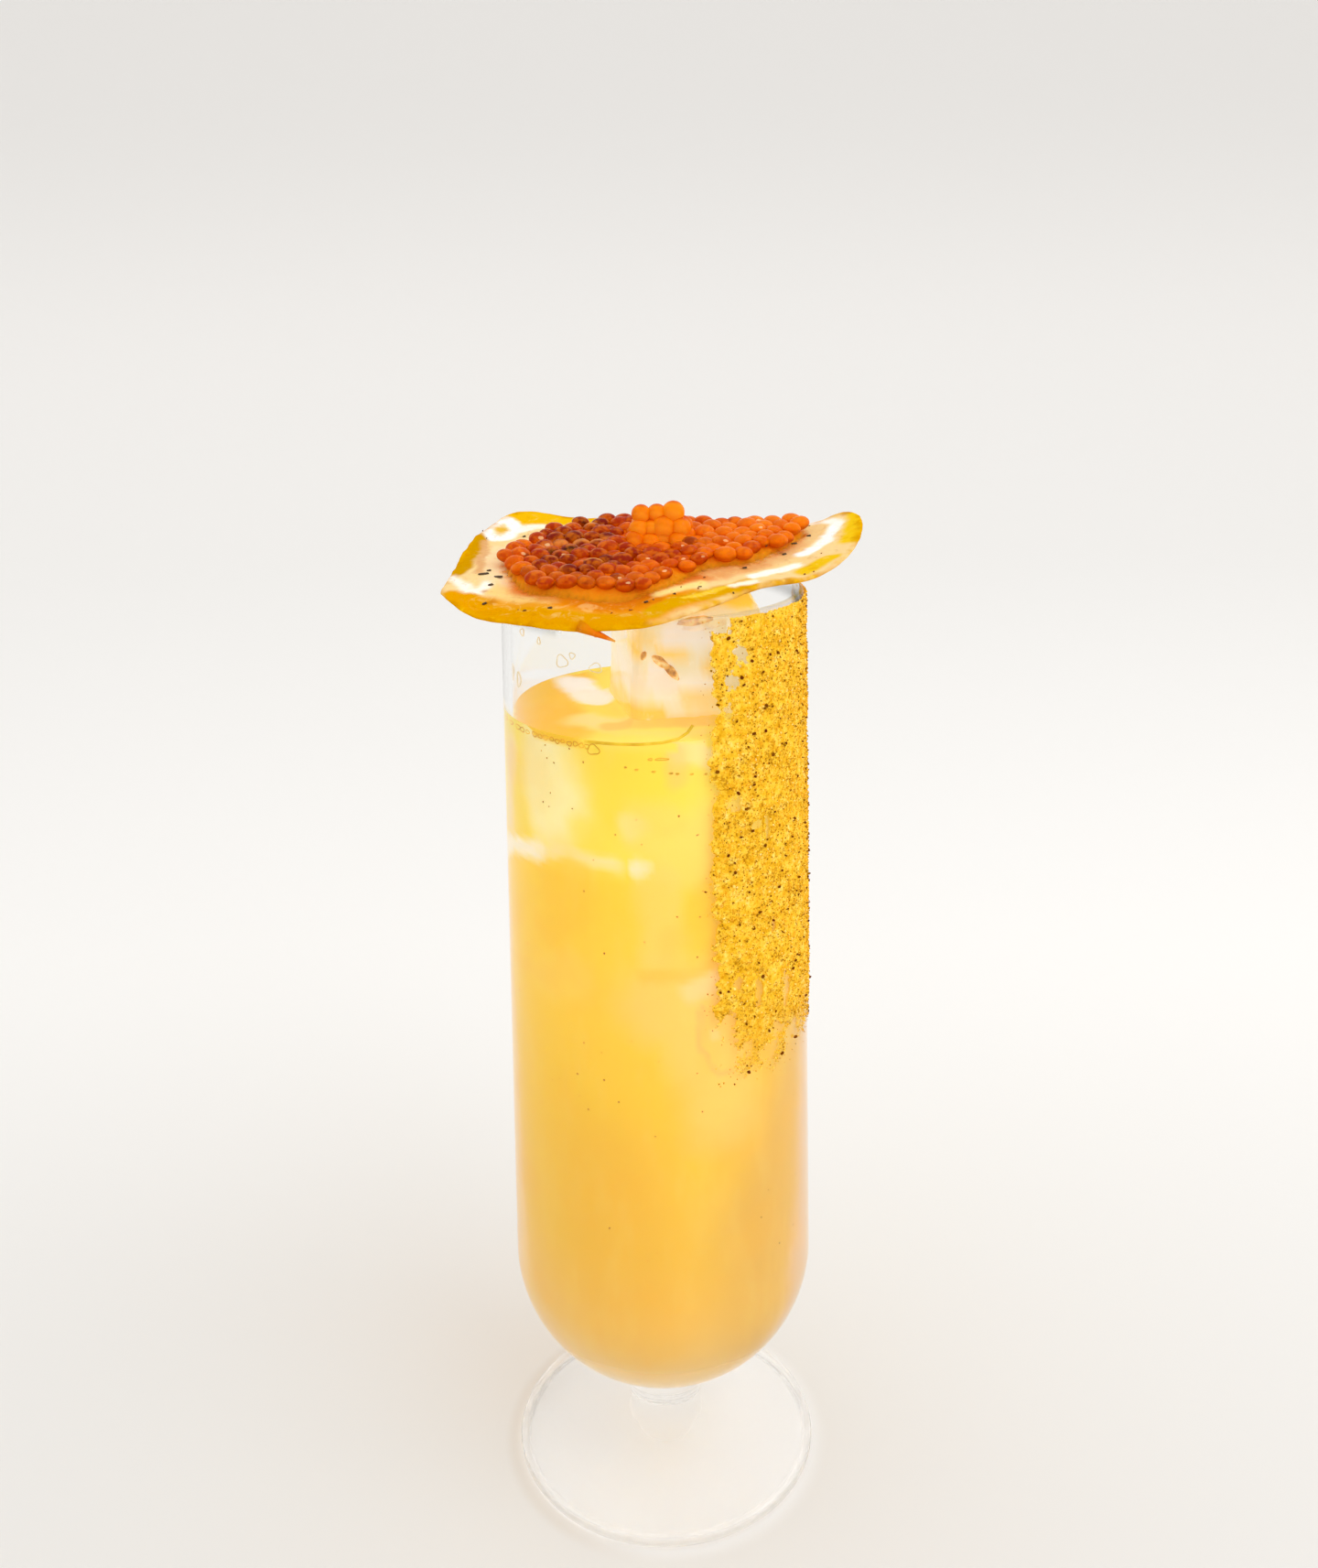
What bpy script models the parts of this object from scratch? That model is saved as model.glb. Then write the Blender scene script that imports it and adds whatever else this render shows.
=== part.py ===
# A michelada in its tall footed glass: the drink, one block of ice that stands out of it,
# a band of spice down the outside of the glass, and a thin crisp across the rim with a
# bed of roe on it. Metres, +Z up, origin on the glass's axis where the foot stands.
import math
import random

import bmesh
import bpy
from mathutils import Matrix, Vector, noise
from mathutils.bvhtree import BVHTree

MM = 0.001
GAP = 0.3 * MM  # left between pieces that touch

# The glass, a footed half-litre beer glass
GLASS_HEIGHT = 220 * MM
RIM_RADIUS = 31.1 * MM
BELLY_RADIUS = 35.5 * MM
BELLY_HEIGHT = 60 * MM  # where the straight wall turns into the round bottom
BOWL_DROP = 34.1 * MM  # from there down to the lowest point of the bowl
WALL = 1.9 * MM
FLOOR_THICKNESS = 4.8 * MM  # glass under the drink, on the axis
FOOT_RADIUS = 37.4 * MM
FOOT_EDGE = 2.8 * MM
FOOT_CROWN = 5.2 * MM  # height of the foot's top face where the stem begins
STEM_RADIUS = 8.8 * MM
TURN_STEPS = 42
BOWL_STEPS = 8

# The drink
LEVEL = 195.5 * MM
MENISCUS = 1.0 * MM

# The ice block
ICE_WIDTH = 26.5 * MM
ICE_CENTRE = Vector((5.5, -1.5, 0)) * MM
ICE_FOOT = 168 * MM
ICE_FRONT_TOP = 218.6 * MM
ICE_BACK_TOP = 226.6 * MM
ICE_TURN = math.radians(14)
ICE_LEAN = math.radians(3)
ICE_EDGE = 3.2 * MM  # how far its edges have melted round
ICE_MELT = 0.5 * MM  # depth of the hollows melted in its faces
# Dried flakes on its front face: place in millimetres, half length, half width, turn in the face
FLAKES = (
    ((2.2, -15.8, 207.4), 3.9 * MM, 0.85 * MM, math.radians(44)),
    ((-1.9, -16.8, 209.8), 0.9 * MM, 0.6 * MM, math.radians(-60)),
    ((9.4, -14.0, 216.2), 3.6 * MM, 0.7 * MM, math.radians(-4)),
)
FLAKE_DEPTH = 0.8 * MM

# The spice band, by angle round the glass from the front towards +X
CRUST_FROM = math.radians(20)
CRUST_TO = math.radians(99)
CRUST_LOW = 122 * MM
CRUST_HIGH = 217.6 * MM
CRUST_THICKNESS = 0.8 * MM
CRUST_RAGGED = 1.8 * MM
CRUST_COLUMNS = 15
CRUST_ROWS = 20
CRUST_CRUMBS = 36
CRUMB_RADIUS = 0.75 * MM

# The crisp: where its outline runs, seen from above, in millimetres
CRISP_OUTLINE = [
    (-40, -21), (-32.5, -31), (-23, -34), (-12, -35.4), (-2, -35), (6, -32), (15, -22.8), (23, -17),
    (31, -15), (38.6, -9), (43.7, 5), (44, 15.5), (40.5, 18.8), (34, 15.5), (27, 20), (12, 20.5),
    (-5, 21.5), (-15, 25), (-24, 28.4), (-31.5, 24), (-36.5, 12), (-39.5, -7),
]
CRISP_CENTRE = Vector((1, -6)) * MM
CRISP_THICKNESS = 0.9 * MM
CRISP_REST = 221.05 * MM  # its top face over the front of the rim
CRISP_SLOPE = 0.17
CRISP_RIPPLE = 0.7 * MM
CRISP_STEPS = 54
CRISP_RINGS = (0.22, 0.42, 0.6, 0.76, 0.9, 1.0)
SPLINTER_LENGTH = 3.6 * MM

# The roe, in millimetres as above
BED_OUTLINE = [
    (-29, -5), (-25, -18), (-19, -23), (-11, -24.5), (-4, -23.5), (3.5, -18), (10.5, -9.5), (19, -6.5),
    (27.5, 2), (31.5, 9), (30, 14), (20, 13), (10, 15), (-2, 16), (-11, 15.5), (-21, 10),
]
EGG_RADIUS = 1.75 * MM
EGG_SPACING = 3.9 * MM
BED_THICKNESS = 1.5 * MM
BED_STEPS = 24
BED_RINGS = (0.22, 0.5, 1.0)
HEAP_CENTRE = Vector((1.5, 4.5)) * MM
HEAP_RISE = 4.2 * MM  # how far the core swells up inside the heap
HEAP_SPREAD = 5.5 * MM
HEAP_REACH = 8.2 * MM
HEAP_DEPTH = 0.8  # how deep the heap is for its width
HEAP_EGGS = 13


def clear_scene():
    for thing in list(bpy.data.objects):
        bpy.data.objects.remove(thing, do_unlink=True)


def material(name, colour, roughness, metallic=0.0, transmission=0.0, ior=1.45):
    made = bpy.data.materials.new(name)
    made.use_nodes = True
    shader = made.node_tree.nodes["Principled BSDF"]
    shader.inputs["Base Color"].default_value = (*colour, 1.0)
    shader.inputs["Roughness"].default_value = roughness
    shader.inputs["Metallic"].default_value = metallic
    shader.inputs["Transmission Weight"].default_value = transmission
    shader.inputs["IOR"].default_value = ior
    made.diffuse_color = (*colour, 1.0)
    return made


def finished(name, mesh, finish, sharp_degrees=40):
    """Turns a bmesh into a named object, its faces pointing out and its round parts smooth."""
    bmesh.ops.recalc_face_normals(mesh, faces=mesh.faces)
    data = bpy.data.meshes.new(name)
    mesh.to_mesh(data)
    mesh.free()
    data.shade_smooth()
    data.set_sharp_from_angle(angle=math.radians(sharp_degrees))
    data.materials.append(finish)
    thing = bpy.data.objects.new(name, data)
    bpy.context.scene.collection.objects.link(thing)
    return thing


def smooth_loop(points, per_span):
    """A closed curve through the points, with per_span places from each point to the next."""
    places = []
    count = len(points)
    for i in range(count):
        a, b, c, d = (Vector(points[(i + k) % count]) for k in (-1, 0, 1, 2))
        for step in range(per_span):
            t = step / per_span
            places.append(
                0.5 * (2 * b + (c - a) * t + (2 * a - 5 * b + 4 * c - d) * t**2 + (3 * b - a - 3 * c + d) * t**3)
            )
    return places


def spread_evenly(loop, count):
    """The closed curve again, with count places at equal distances along it."""
    lengths = [(loop[(i + 1) % len(loop)] - loop[i]).length for i in range(len(loop))]
    step = sum(lengths) / count
    places, passed, i = [], 0.0, 0
    for k in range(count):
        while passed + lengths[i] < k * step:
            passed += lengths[i]
            i += 1
        share = (k * step - passed) / lengths[i]
        places.append(loop[i].lerp(loop[(i + 1) % len(loop)], share))
    return places


# The glass and the drink


def outer_radius(height):
    """The glass's outside radius at a height on its straight wall or its round bottom."""
    if height >= BELLY_HEIGHT:
        share = (height - BELLY_HEIGHT) / (GLASS_HEIGHT - BELLY_HEIGHT)
        return BELLY_RADIUS + (RIM_RADIUS - BELLY_RADIUS) * share
    return BELLY_RADIUS * math.sqrt(max(0.0, 1 - ((BELLY_HEIGHT - height) / BOWL_DROP) ** 2))


def bowl_arc(radius, drop, start_degrees, steps):
    """Points up the round bottom, from start_degrees off the axis to the foot of the wall."""
    places = []
    for k in range(steps + 1):
        angle = math.radians(start_degrees + (90 - start_degrees) * k / steps)
        places.append((radius * math.sin(angle), BELLY_HEIGHT - drop * math.cos(angle)))
    return places


def turned(name, profile, finish):
    """A solid of revolution from (radius, height) points that begin and end on the axis."""
    mesh = bmesh.new()
    places = [mesh.verts.new((radius, 0, height)) for radius, height in profile]
    edges = [mesh.edges.new(pair) for pair in zip(places, places[1:])]
    bmesh.ops.spin(
        mesh, geom=places + edges, cent=(0, 0, 0), axis=(0, 0, 1), angle=math.tau, steps=TURN_STEPS, use_duplicate=False
    )
    bmesh.ops.remove_doubles(mesh, verts=mesh.verts, dist=0.001 * MM)
    bmesh.ops.triangulate(mesh, faces=mesh.faces)
    return finished(name, mesh, finish)


def glass_profile():
    edge = FOOT_EDGE / 2
    foot = [(0, 0), (FOOT_RADIUS - edge, 0)]
    for degrees in (-45, 0, 45):
        angle = math.radians(degrees)
        foot.append((FOOT_RADIUS - edge + edge * math.cos(angle), edge + edge * math.sin(angle)))
    foot.append((FOOT_RADIUS - edge, FOOT_EDGE))
    rise = FOOT_CROWN - FOOT_EDGE
    for share in (0.3, 0.6, 0.85):
        radius = FOOT_RADIUS - edge - (FOOT_RADIUS - edge - STEM_RADIUS - 2 * MM) * share
        foot.append((radius, FOOT_EDGE + rise * share**2))
    stem = [
        (STEM_RADIUS + 1.2 * MM, FOOT_CROWN + 1.4 * MM),
        (STEM_RADIUS, FOOT_CROWN + 4.5 * MM),
        (STEM_RADIUS + 0.2 * MM, FOOT_CROWN + 12 * MM),
        (STEM_RADIUS + 1.8 * MM, FOOT_CROWN + 19 * MM),
    ]
    outside = bowl_arc(BELLY_RADIUS, BOWL_DROP, 23, BOWL_STEPS)
    bead = WALL * 0.35
    rim = [
        (RIM_RADIUS, GLASS_HEIGHT - bead),
        (RIM_RADIUS - bead, GLASS_HEIGHT),
        (RIM_RADIUS - WALL + bead, GLASS_HEIGHT),
        (RIM_RADIUS - WALL, GLASS_HEIGHT - bead),
    ]
    inside = bowl_arc(BELLY_RADIUS - WALL, BOWL_DROP - FLOOR_THICKNESS, 0, BOWL_STEPS)
    inside[0] = (0, inside[0][1])
    return foot + stem + outside + rim + inside[::-1]


def drink_profile():
    wall = WALL + GAP
    inside = bowl_arc(BELLY_RADIUS - wall, BOWL_DROP - FLOOR_THICKNESS - GAP, 0, BOWL_STEPS)
    inside[0] = (0, inside[0][1])
    top = outer_radius(LEVEL) - wall
    surface = [
        (top, LEVEL + MENISCUS),
        (top - MENISCUS, LEVEL + 0.25 * MENISCUS),
        (top - 2.4 * MENISCUS, LEVEL),
        (0, LEVEL),
    ]
    return inside + surface


# The ice


def ice_mesh(grow, melted):
    """The block of ice with a slanting top, larger all round by grow."""
    half = ICE_WIDTH / 2 + grow
    mesh = bmesh.new()
    bmesh.ops.create_cube(mesh, size=2)
    for place in mesh.verts:
        top = ICE_BACK_TOP if place.co.y > 0 else ICE_FRONT_TOP
        height = top + grow if place.co.z > 0 else ICE_FOOT - grow
        place.co = (place.co.x * half, place.co.y * half, height)
    bmesh.ops.bevel(
        mesh, geom=list(mesh.edges), offset=ICE_EDGE + grow, segments=2, profile=0.5, affect="EDGES", clamp_overlap=True
    )
    if melted:
        long_edges = [edge for edge in mesh.edges if edge.calc_length() > ICE_WIDTH / 2]
        bmesh.ops.subdivide_edges(mesh, edges=long_edges, cuts=3, use_grid_fill=True)
        mesh.normal_update()
        for place in mesh.verts:
            hollow = max(0.0, noise.noise(place.co / (9 * MM)))
            place.co -= place.normal * ICE_MELT * hollow
    lean = Matrix.Rotation(ICE_LEAN, 4, "Y") @ Matrix.Rotation(ICE_TURN, 4, "Z")
    middle = Matrix.Translation((0, 0, LEVEL))
    bmesh.ops.transform(
        mesh, matrix=Matrix.Translation(ICE_CENTRE) @ middle @ lean @ middle.inverted(), verts=mesh.verts
    )
    return mesh


def loose(name, mesh):
    """An object for a piece that is about to be fused on."""
    data = bpy.data.meshes.new(name)
    mesh.to_mesh(data)
    mesh.free()
    return bpy.data.objects.new(name, data)


def flake(name, where, half_length, half_width, turn):
    """A small dried flake that lies half sunk in the front face of the ice."""
    mesh = bmesh.new()
    bmesh.ops.create_uvsphere(mesh, u_segments=8, v_segments=4, radius=1)
    face = Matrix.Rotation(ICE_TURN, 4, "Z") @ Matrix.Rotation(turn, 4, "Y")
    size = Matrix.Diagonal((half_length, FLAKE_DEPTH, half_width, 1))
    bmesh.ops.transform(mesh, matrix=Matrix.Translation(Vector(where) * MM) @ face @ size, verts=mesh.verts)
    return loose(name, mesh)


# The crust of spice


def ragged(along, seed):
    """A smooth uneven edge between -1 and 1."""
    return noise.noise(Vector((along * 3.1, seed, 0.5))) + 0.6 * noise.noise(Vector((along * 9.7, seed, 4.5)))


def crust_point(u, v, proud):
    """A place on the crust: u along the band's width, v up it, proud above its inner face."""
    low = CRUST_LOW + CRUST_RAGGED * ragged(u * 4, 7) + 3 * MM * max(0.0, u - 0.75) / 0.25
    height = low + (CRUST_HIGH - low) * v
    edge = CRUST_RAGGED / BELLY_RADIUS
    start = CRUST_FROM + edge * ragged(v * 8, 1)
    end = CRUST_TO + edge * ragged(v * 8, 3)
    angle = start + (end - start) * u
    radius = outer_radius(height) + 1.15 * GAP + proud
    return Vector((radius * math.sin(angle), -radius * math.cos(angle), height))


def crust_mesh():
    mesh = bmesh.new()
    sides = []
    for outside in (False, True):
        rows = []
        for j in range(CRUST_ROWS + 1):
            row = []
            for i in range(CRUST_COLUMNS + 1):
                u, v = i / CRUST_COLUMNS, j / CRUST_ROWS
                proud = 0.0
                if outside:
                    crag = noise.noise(Vector((u * 11, v * 24, 2.0)))
                    proud = CRUST_THICKNESS * (0.75 + 0.45 * crag)
                row.append(mesh.verts.new(crust_point(u, v, proud)))
            rows.append(row)
        sides.append(rows)
    inner, outer = sides
    for rows in sides:
        for low, high in zip(rows, rows[1:]):
            for i in range(CRUST_COLUMNS):
                mesh.faces.new((low[i], low[i + 1], high[i + 1]))
                mesh.faces.new((low[i], high[i + 1], high[i]))
    borders = [
        (inner[0], outer[0]),
        (inner[-1], outer[-1]),
        ([row[0] for row in inner], [row[0] for row in outer]),
        ([row[-1] for row in inner], [row[-1] for row in outer]),
    ]
    for near, far in borders:
        for i in range(len(near) - 1):
            mesh.faces.new((near[i], near[i + 1], far[i + 1], far[i]))
    return mesh


# The crisp and the roe


def crisp_height(x, y):
    """The crisp's top face over a place: tilted, curled at both ends and drooping in front."""
    height = CRISP_REST + CRISP_SLOPE * (y + 33 * MM)
    right = max(0.0, x - 26 * MM) / (18 * MM)
    left = max(0.0, -x - 22 * MM) / (20 * MM)
    droop = max(0.0, -32 * MM - y)
    height += 3 * MM * right**2 + 1.8 * MM * left**2 * (y + 33 * MM) / (40 * MM)
    height -= 0.1 / MM * droop**2
    outward = min(1.0, (x / (42 * MM)) ** 2 + (y / (30 * MM)) ** 2)
    return height + CRISP_RIPPLE * outward * math.sin(x / (3.6 * MM) + 0.5) * math.sin(y / (5.3 * MM))


def sheet_mesh(outline, centre, steps, rings, low_face, high_face):
    """A thin solid between two heights over an outline, its two faces split alike."""
    loop = spread_evenly(smooth_loop([Vector(point) * MM for point in outline], 12), steps)
    mesh = bmesh.new()
    sides = []
    for face_height in (low_face, high_face):
        middle = mesh.verts.new((centre.x, centre.y, face_height(centre.x, centre.y, 0.0)))
        circles = []
        for share in rings:
            circle = []
            for place in loop:
                spot = centre.lerp(place, share)
                circle.append(mesh.verts.new((spot.x, spot.y, face_height(spot.x, spot.y, share))))
            circles.append(circle)
        for i in range(steps):
            k = (i + 1) % steps
            mesh.faces.new((middle, circles[0][i], circles[0][k]))
            for near, far in zip(circles, circles[1:]):
                mesh.faces.new((near[i], far[i], far[k]))
                mesh.faces.new((near[i], far[k], near[k]))
        sides.append(circles[-1])
    for i in range(steps):
        k = (i + 1) % steps
        mesh.faces.new((sides[0][i], sides[0][k], sides[1][k], sides[1][i]))
    return mesh


def inside(place, loop):
    """True if a place lies within a closed loop, seen from above."""
    within = False
    for i in range(len(loop)):
        a, b = loop[i - 1], loop[i]
        if (a.y > place.y) != (b.y > place.y):
            if place.x < a.x + (b.x - a.x) * (place.y - a.y) / (b.y - a.y):
                within = not within
    return within


def egg_places(draw):
    """Where the eggs lie, seen from above: close together over the bed, and on its small heap."""
    loop = smooth_loop([Vector(point) * MM for point in BED_OUTLINE], 6)
    places = []
    row_step = EGG_SPACING * math.sqrt(3) / 2
    for row in range(-9, 8):
        for column in range(-10, 11):
            x = (column + 0.5 * (row % 2)) * EGG_SPACING + draw.uniform(-0.35, 0.35) * MM
            y = row * row_step + draw.uniform(-0.35, 0.35) * MM
            spot = Vector((x, y))
            away = spot - HEAP_CENTRE
            clear_of_heap = math.hypot(away.x, away.y / HEAP_DEPTH) > HEAP_REACH + 0.3 * EGG_SPACING
            if clear_of_heap and inside(spot, loop):
                places.append(spot)
    for k in range(HEAP_EGGS):
        turn = k * math.radians(137.5)
        away = HEAP_REACH * math.sqrt((k + 0.1) / HEAP_EGGS)
        places.append(HEAP_CENTRE + Vector((math.cos(turn), math.sin(turn) * HEAP_DEPTH)) * away)
    return places


def egg(name, centre, radius, turn):
    mesh = bmesh.new()
    bmesh.ops.create_icosphere(mesh, subdivisions=1, radius=radius)
    bmesh.ops.transform(mesh, matrix=Matrix.Translation(centre) @ Matrix.Rotation(turn, 4, "Z"), verts=mesh.verts)
    return loose(name, mesh)


def fuse(core, pieces):
    """Joins loose pieces to the core by one union and removes them."""
    group = bpy.data.collections.new(core.name + "_pieces")
    bpy.context.scene.collection.children.link(group)
    for piece in pieces:
        group.objects.link(piece)
    union = core.modifiers.new("Fuse", "BOOLEAN")
    union.operation = "UNION"
    union.operand_type = "COLLECTION"
    union.collection = group
    union.solver = "MANIFOLD"
    bpy.context.view_layer.update()
    joined = bpy.data.meshes.new_from_object(core.evaluated_get(bpy.context.evaluated_depsgraph_get()))
    core.modifiers.remove(union)
    core.data = joined
    for piece in list(group.objects):
        bpy.data.objects.remove(piece, do_unlink=True)
    bpy.data.collections.remove(group)


def build_glass():
    clear = material("clear_glass", (0.97, 0.98, 0.98), 0.02, transmission=1.0, ior=1.5)
    turned("glass", glass_profile(), clear)


def build_drink():
    amber = material("amber_drink", (0.93, 0.62, 0.16), 0.08, transmission=0.4, ior=1.34)
    drink = turned("drink", drink_profile(), amber)
    pocket = finished("ice_pocket", ice_mesh(GAP, melted=False), amber)
    pocket.hide_render = True
    pocket.display_type = "WIRE"
    cut = drink.modifiers.new("Pocket", "BOOLEAN")
    cut.operation = "DIFFERENCE"
    cut.object = pocket


def build_ice():
    clear = material("clear_ice", (0.95, 0.96, 0.97), 0.06, transmission=0.9, ior=1.31)
    ice = finished("ice_block", ice_mesh(0.0, melted=True), clear, 25)
    fuse(ice, [flake("flake_%d" % k, *lie) for k, lie in enumerate(FLAKES)])


def build_crust():
    gold = material("golden_spice", (0.86, 0.55, 0.06), 0.85)
    crust = finished("spice_crust", crust_mesh(), gold, 70)
    draw = random.Random(4)
    crumbs = []
    for k in range(CRUST_CRUMBS):
        radius = CRUMB_RADIUS * draw.uniform(0.8, 1.25)
        u = draw.uniform(0.06, 0.94)
        v = draw.uniform(0.04, 0.97)
        mesh = bmesh.new()
        bmesh.ops.create_icosphere(mesh, subdivisions=1, radius=radius)
        spin = Matrix.Rotation(draw.uniform(0, math.tau), 4, Vector((draw.random(), draw.random(), 1)))
        bmesh.ops.transform(
            mesh, matrix=Matrix.Translation(crust_point(u, v, radius + 0.15 * MM)) @ spin, verts=mesh.verts
        )
        crumbs.append(loose("crumb_%02d" % k, mesh))
    fuse(crust, crumbs)


def build_crisp():
    golden = material("golden_crisp", (0.85, 0.62, 0.13), 0.35, transmission=0.2)

    def under(x, y, share):
        return crisp_height(x, y) - CRISP_THICKNESS

    def over(x, y, share):
        return crisp_height(x, y)

    crisp = finished(
        "crisp", sheet_mesh(CRISP_OUTLINE, CRISP_CENTRE, CRISP_STEPS, CRISP_RINGS, under, over), golden, 50
    )
    splinter = bmesh.new()
    bmesh.ops.create_cone(
        splinter, cap_ends=True, segments=6, radius1=0.9 * MM, radius2=0.15 * MM, depth=SPLINTER_LENGTH
    )
    aim = Vector((0.75, -0.1, -0.62)).to_track_quat("Z", "Y").to_matrix().to_4x4()
    bmesh.ops.transform(
        splinter, matrix=Matrix.Translation(Vector((-11.6, -34.6, 218.9)) * MM) @ aim, verts=splinter.verts
    )
    fuse(crisp, [loose("splinter", splinter)])
    return crisp


def build_roe(crisp):
    orange = material("orange_roe", (0.86, 0.2, 0.02), 0.12, transmission=0.2, ior=1.38)
    rest = BVHTree.FromObject(crisp, bpy.context.evaluated_depsgraph_get())

    def crisp_top(x, y):
        where = rest.ray_cast(Vector((x, y, 1)), Vector((0, 0, -1)))[0]
        return where.z

    def under(x, y, share):
        return crisp_top(x, y) + 1.5 * GAP

    def over(x, y, share):
        away = Vector((x, y)) - HEAP_CENTRE
        swell = math.exp(-(away.x**2 + (away.y / HEAP_DEPTH) ** 2) / HEAP_SPREAD**2)
        return under(x, y, share) + BED_THICKNESS * (1.0 if share < 1 else 0.45) + HEAP_RISE * swell

    roe = finished("roe", sheet_mesh(BED_OUTLINE, HEAP_CENTRE, BED_STEPS, BED_RINGS, under, over), orange, 60)
    draw = random.Random(11)
    eggs = []
    for k, spot in enumerate(egg_places(draw)):
        radius = EGG_RADIUS * draw.uniform(0.92, 1.08)
        height = over(spot.x, spot.y, 0) + 0.3 * radius
        eggs.append(egg("egg_%03d" % k, (spot.x, spot.y, height), radius, draw.uniform(0, math.tau)))
    fuse(roe, eggs)


def main():
    clear_scene()
    build_glass()
    build_drink()
    build_ice()
    build_crust()
    roe_rest = build_crisp()
    build_roe(roe_rest)


main()
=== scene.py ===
import math
import random

import bpy
import numpy as np
from mathutils import Matrix, Vector, noise
from mathutils.bvhtree import BVHTree
from mathutils.kdtree import KDTree


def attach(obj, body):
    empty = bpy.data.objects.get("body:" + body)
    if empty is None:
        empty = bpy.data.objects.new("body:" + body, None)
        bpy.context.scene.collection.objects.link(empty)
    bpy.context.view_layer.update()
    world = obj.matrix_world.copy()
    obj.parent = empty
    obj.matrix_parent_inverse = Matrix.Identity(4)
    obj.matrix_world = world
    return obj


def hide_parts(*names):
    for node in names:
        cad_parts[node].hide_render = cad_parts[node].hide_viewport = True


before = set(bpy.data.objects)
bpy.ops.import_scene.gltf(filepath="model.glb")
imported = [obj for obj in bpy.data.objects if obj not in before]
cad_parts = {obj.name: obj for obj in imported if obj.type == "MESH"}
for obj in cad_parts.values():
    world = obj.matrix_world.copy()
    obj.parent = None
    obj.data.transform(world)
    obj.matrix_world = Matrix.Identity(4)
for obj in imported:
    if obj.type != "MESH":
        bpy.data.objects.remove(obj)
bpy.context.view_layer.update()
mm = 0.001


# Small helpers

def startClean():
    if bpy.context.object and bpy.context.object.mode != "OBJECT":
        bpy.ops.object.mode_set(mode="OBJECT")
    bpy.ops.object.select_all(action="DESELECT")


def pick(thing):
    startClean()
    thing.select_set(True)
    bpy.context.view_layer.objects.active = thing


def settle(thing, name, material, slotName, *nodes):
    # place into the mesh, name, finish and body
    pick(thing)
    bpy.ops.object.transform_apply(location=True, rotation=True, scale=True)
    bpy.ops.object.shade_smooth()
    thing.name = thing.data.name = name
    thing.data.materials.clear()
    thing.data.materials.append(material)
    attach(thing, "root")
    if nodes:
        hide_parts(*nodes)
    print("made", name, len(thing.data.polygons), "faces")
    return thing


def applyAll(thing):
    pick(thing)
    for modifier in list(thing.modifiers):
        bpy.ops.object.modifier_apply(modifier=modifier.name)


def looseCopy(node):
    # a CAD node's mesh again, welded, as a piece to work on
    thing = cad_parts[node].copy()
    thing.data = thing.data.copy()
    thing.parent = None
    for key in list(thing.keys()):
        del thing[key]
    bpy.context.scene.collection.objects.link(thing)
    pick(thing)
    bpy.ops.object.mode_set(mode="EDIT")
    bpy.ops.mesh.select_all(action="SELECT")
    bpy.ops.mesh.remove_doubles(threshold=0.00001)
    bpy.ops.object.mode_set(mode="OBJECT")
    return thing


def turnOnAxis(profile, sides):
    # a disc on the axis, then ring after ring extruded and scaled, closed at the far pole
    startClean()
    radius, height = profile[0]
    bpy.ops.mesh.primitive_circle_add(vertices=sides, radius=radius, fill_type="TRIFAN", location=(0, 0, height))
    thing = bpy.context.object
    bpy.ops.object.mode_set(mode="EDIT")
    bpy.ops.mesh.select_mode(type="EDGE")
    bpy.ops.mesh.select_all(action="DESELECT")
    bpy.ops.mesh.select_non_manifold()
    for nextRadius, nextHeight in profile[1:]:
        bpy.ops.mesh.extrude_edges_move(TRANSFORM_OT_translate={"value": (0, 0, nextHeight - height)})
        grow = nextRadius / radius
        bpy.ops.transform.resize(value=(grow, grow, 1), center_override=(0, 0, nextHeight))
        radius, height = nextRadius, nextHeight
    bpy.ops.mesh.merge(type="CENTER")
    bpy.ops.mesh.select_all(action="SELECT")
    bpy.ops.mesh.normals_make_consistent(inside=False)
    bpy.ops.object.mode_set(mode="OBJECT")
    return thing


def keepOnly(thing, keep):
    # deletes the points whose place in the list is false
    pick(thing)
    bpy.ops.object.mode_set(mode="EDIT")
    bpy.ops.mesh.select_mode(type="VERT")
    bpy.ops.mesh.select_all(action="DESELECT")
    bpy.ops.object.mode_set(mode="OBJECT")
    thing.data.vertices.foreach_set("select", [not kept for kept in keep])
    bpy.ops.object.mode_set(mode="EDIT")
    bpy.ops.mesh.delete(type="VERT")
    bpy.ops.object.mode_set(mode="OBJECT")


def joinedCopies(name, shape, places):
    # many copies of one small mesh as a single mesh; places are 4x4 matrices
    points = np.array([vertex.co for vertex in shape.vertices])
    sides = [tuple(face.vertices) for face in shape.polygons]
    count = len(points)
    moves = np.array(places)
    spread = np.einsum("nij,kj->nki", moves[:, :3, :3], points) + moves[:, None, :3, 3]
    faces = [tuple(corner + count * k for corner in side) for k in range(len(places)) for side in sides]
    mesh = bpy.data.meshes.new(name)
    mesh.from_pydata(spread.reshape(-1, 3).tolist(), [], faces)
    mesh.update()
    thing = bpy.data.objects.new(name, mesh)
    bpy.context.scene.collection.objects.link(thing)
    return thing


def toneEach(thing, pointsEach, tones, attribute="tone"):
    # one number for each copy, kept on its vertices
    layer = thing.data.attributes.new(attribute, "FLOAT", "POINT")
    layer.data.foreach_set("value", np.repeat(np.array(tones, dtype=np.float32), pointsEach))


def placed(where, turn=Matrix.Identity(3), size=(1, 1, 1)):
    return Matrix.Translation(where) @ turn.to_4x4() @ Matrix.Diagonal((*size, 1))


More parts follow.
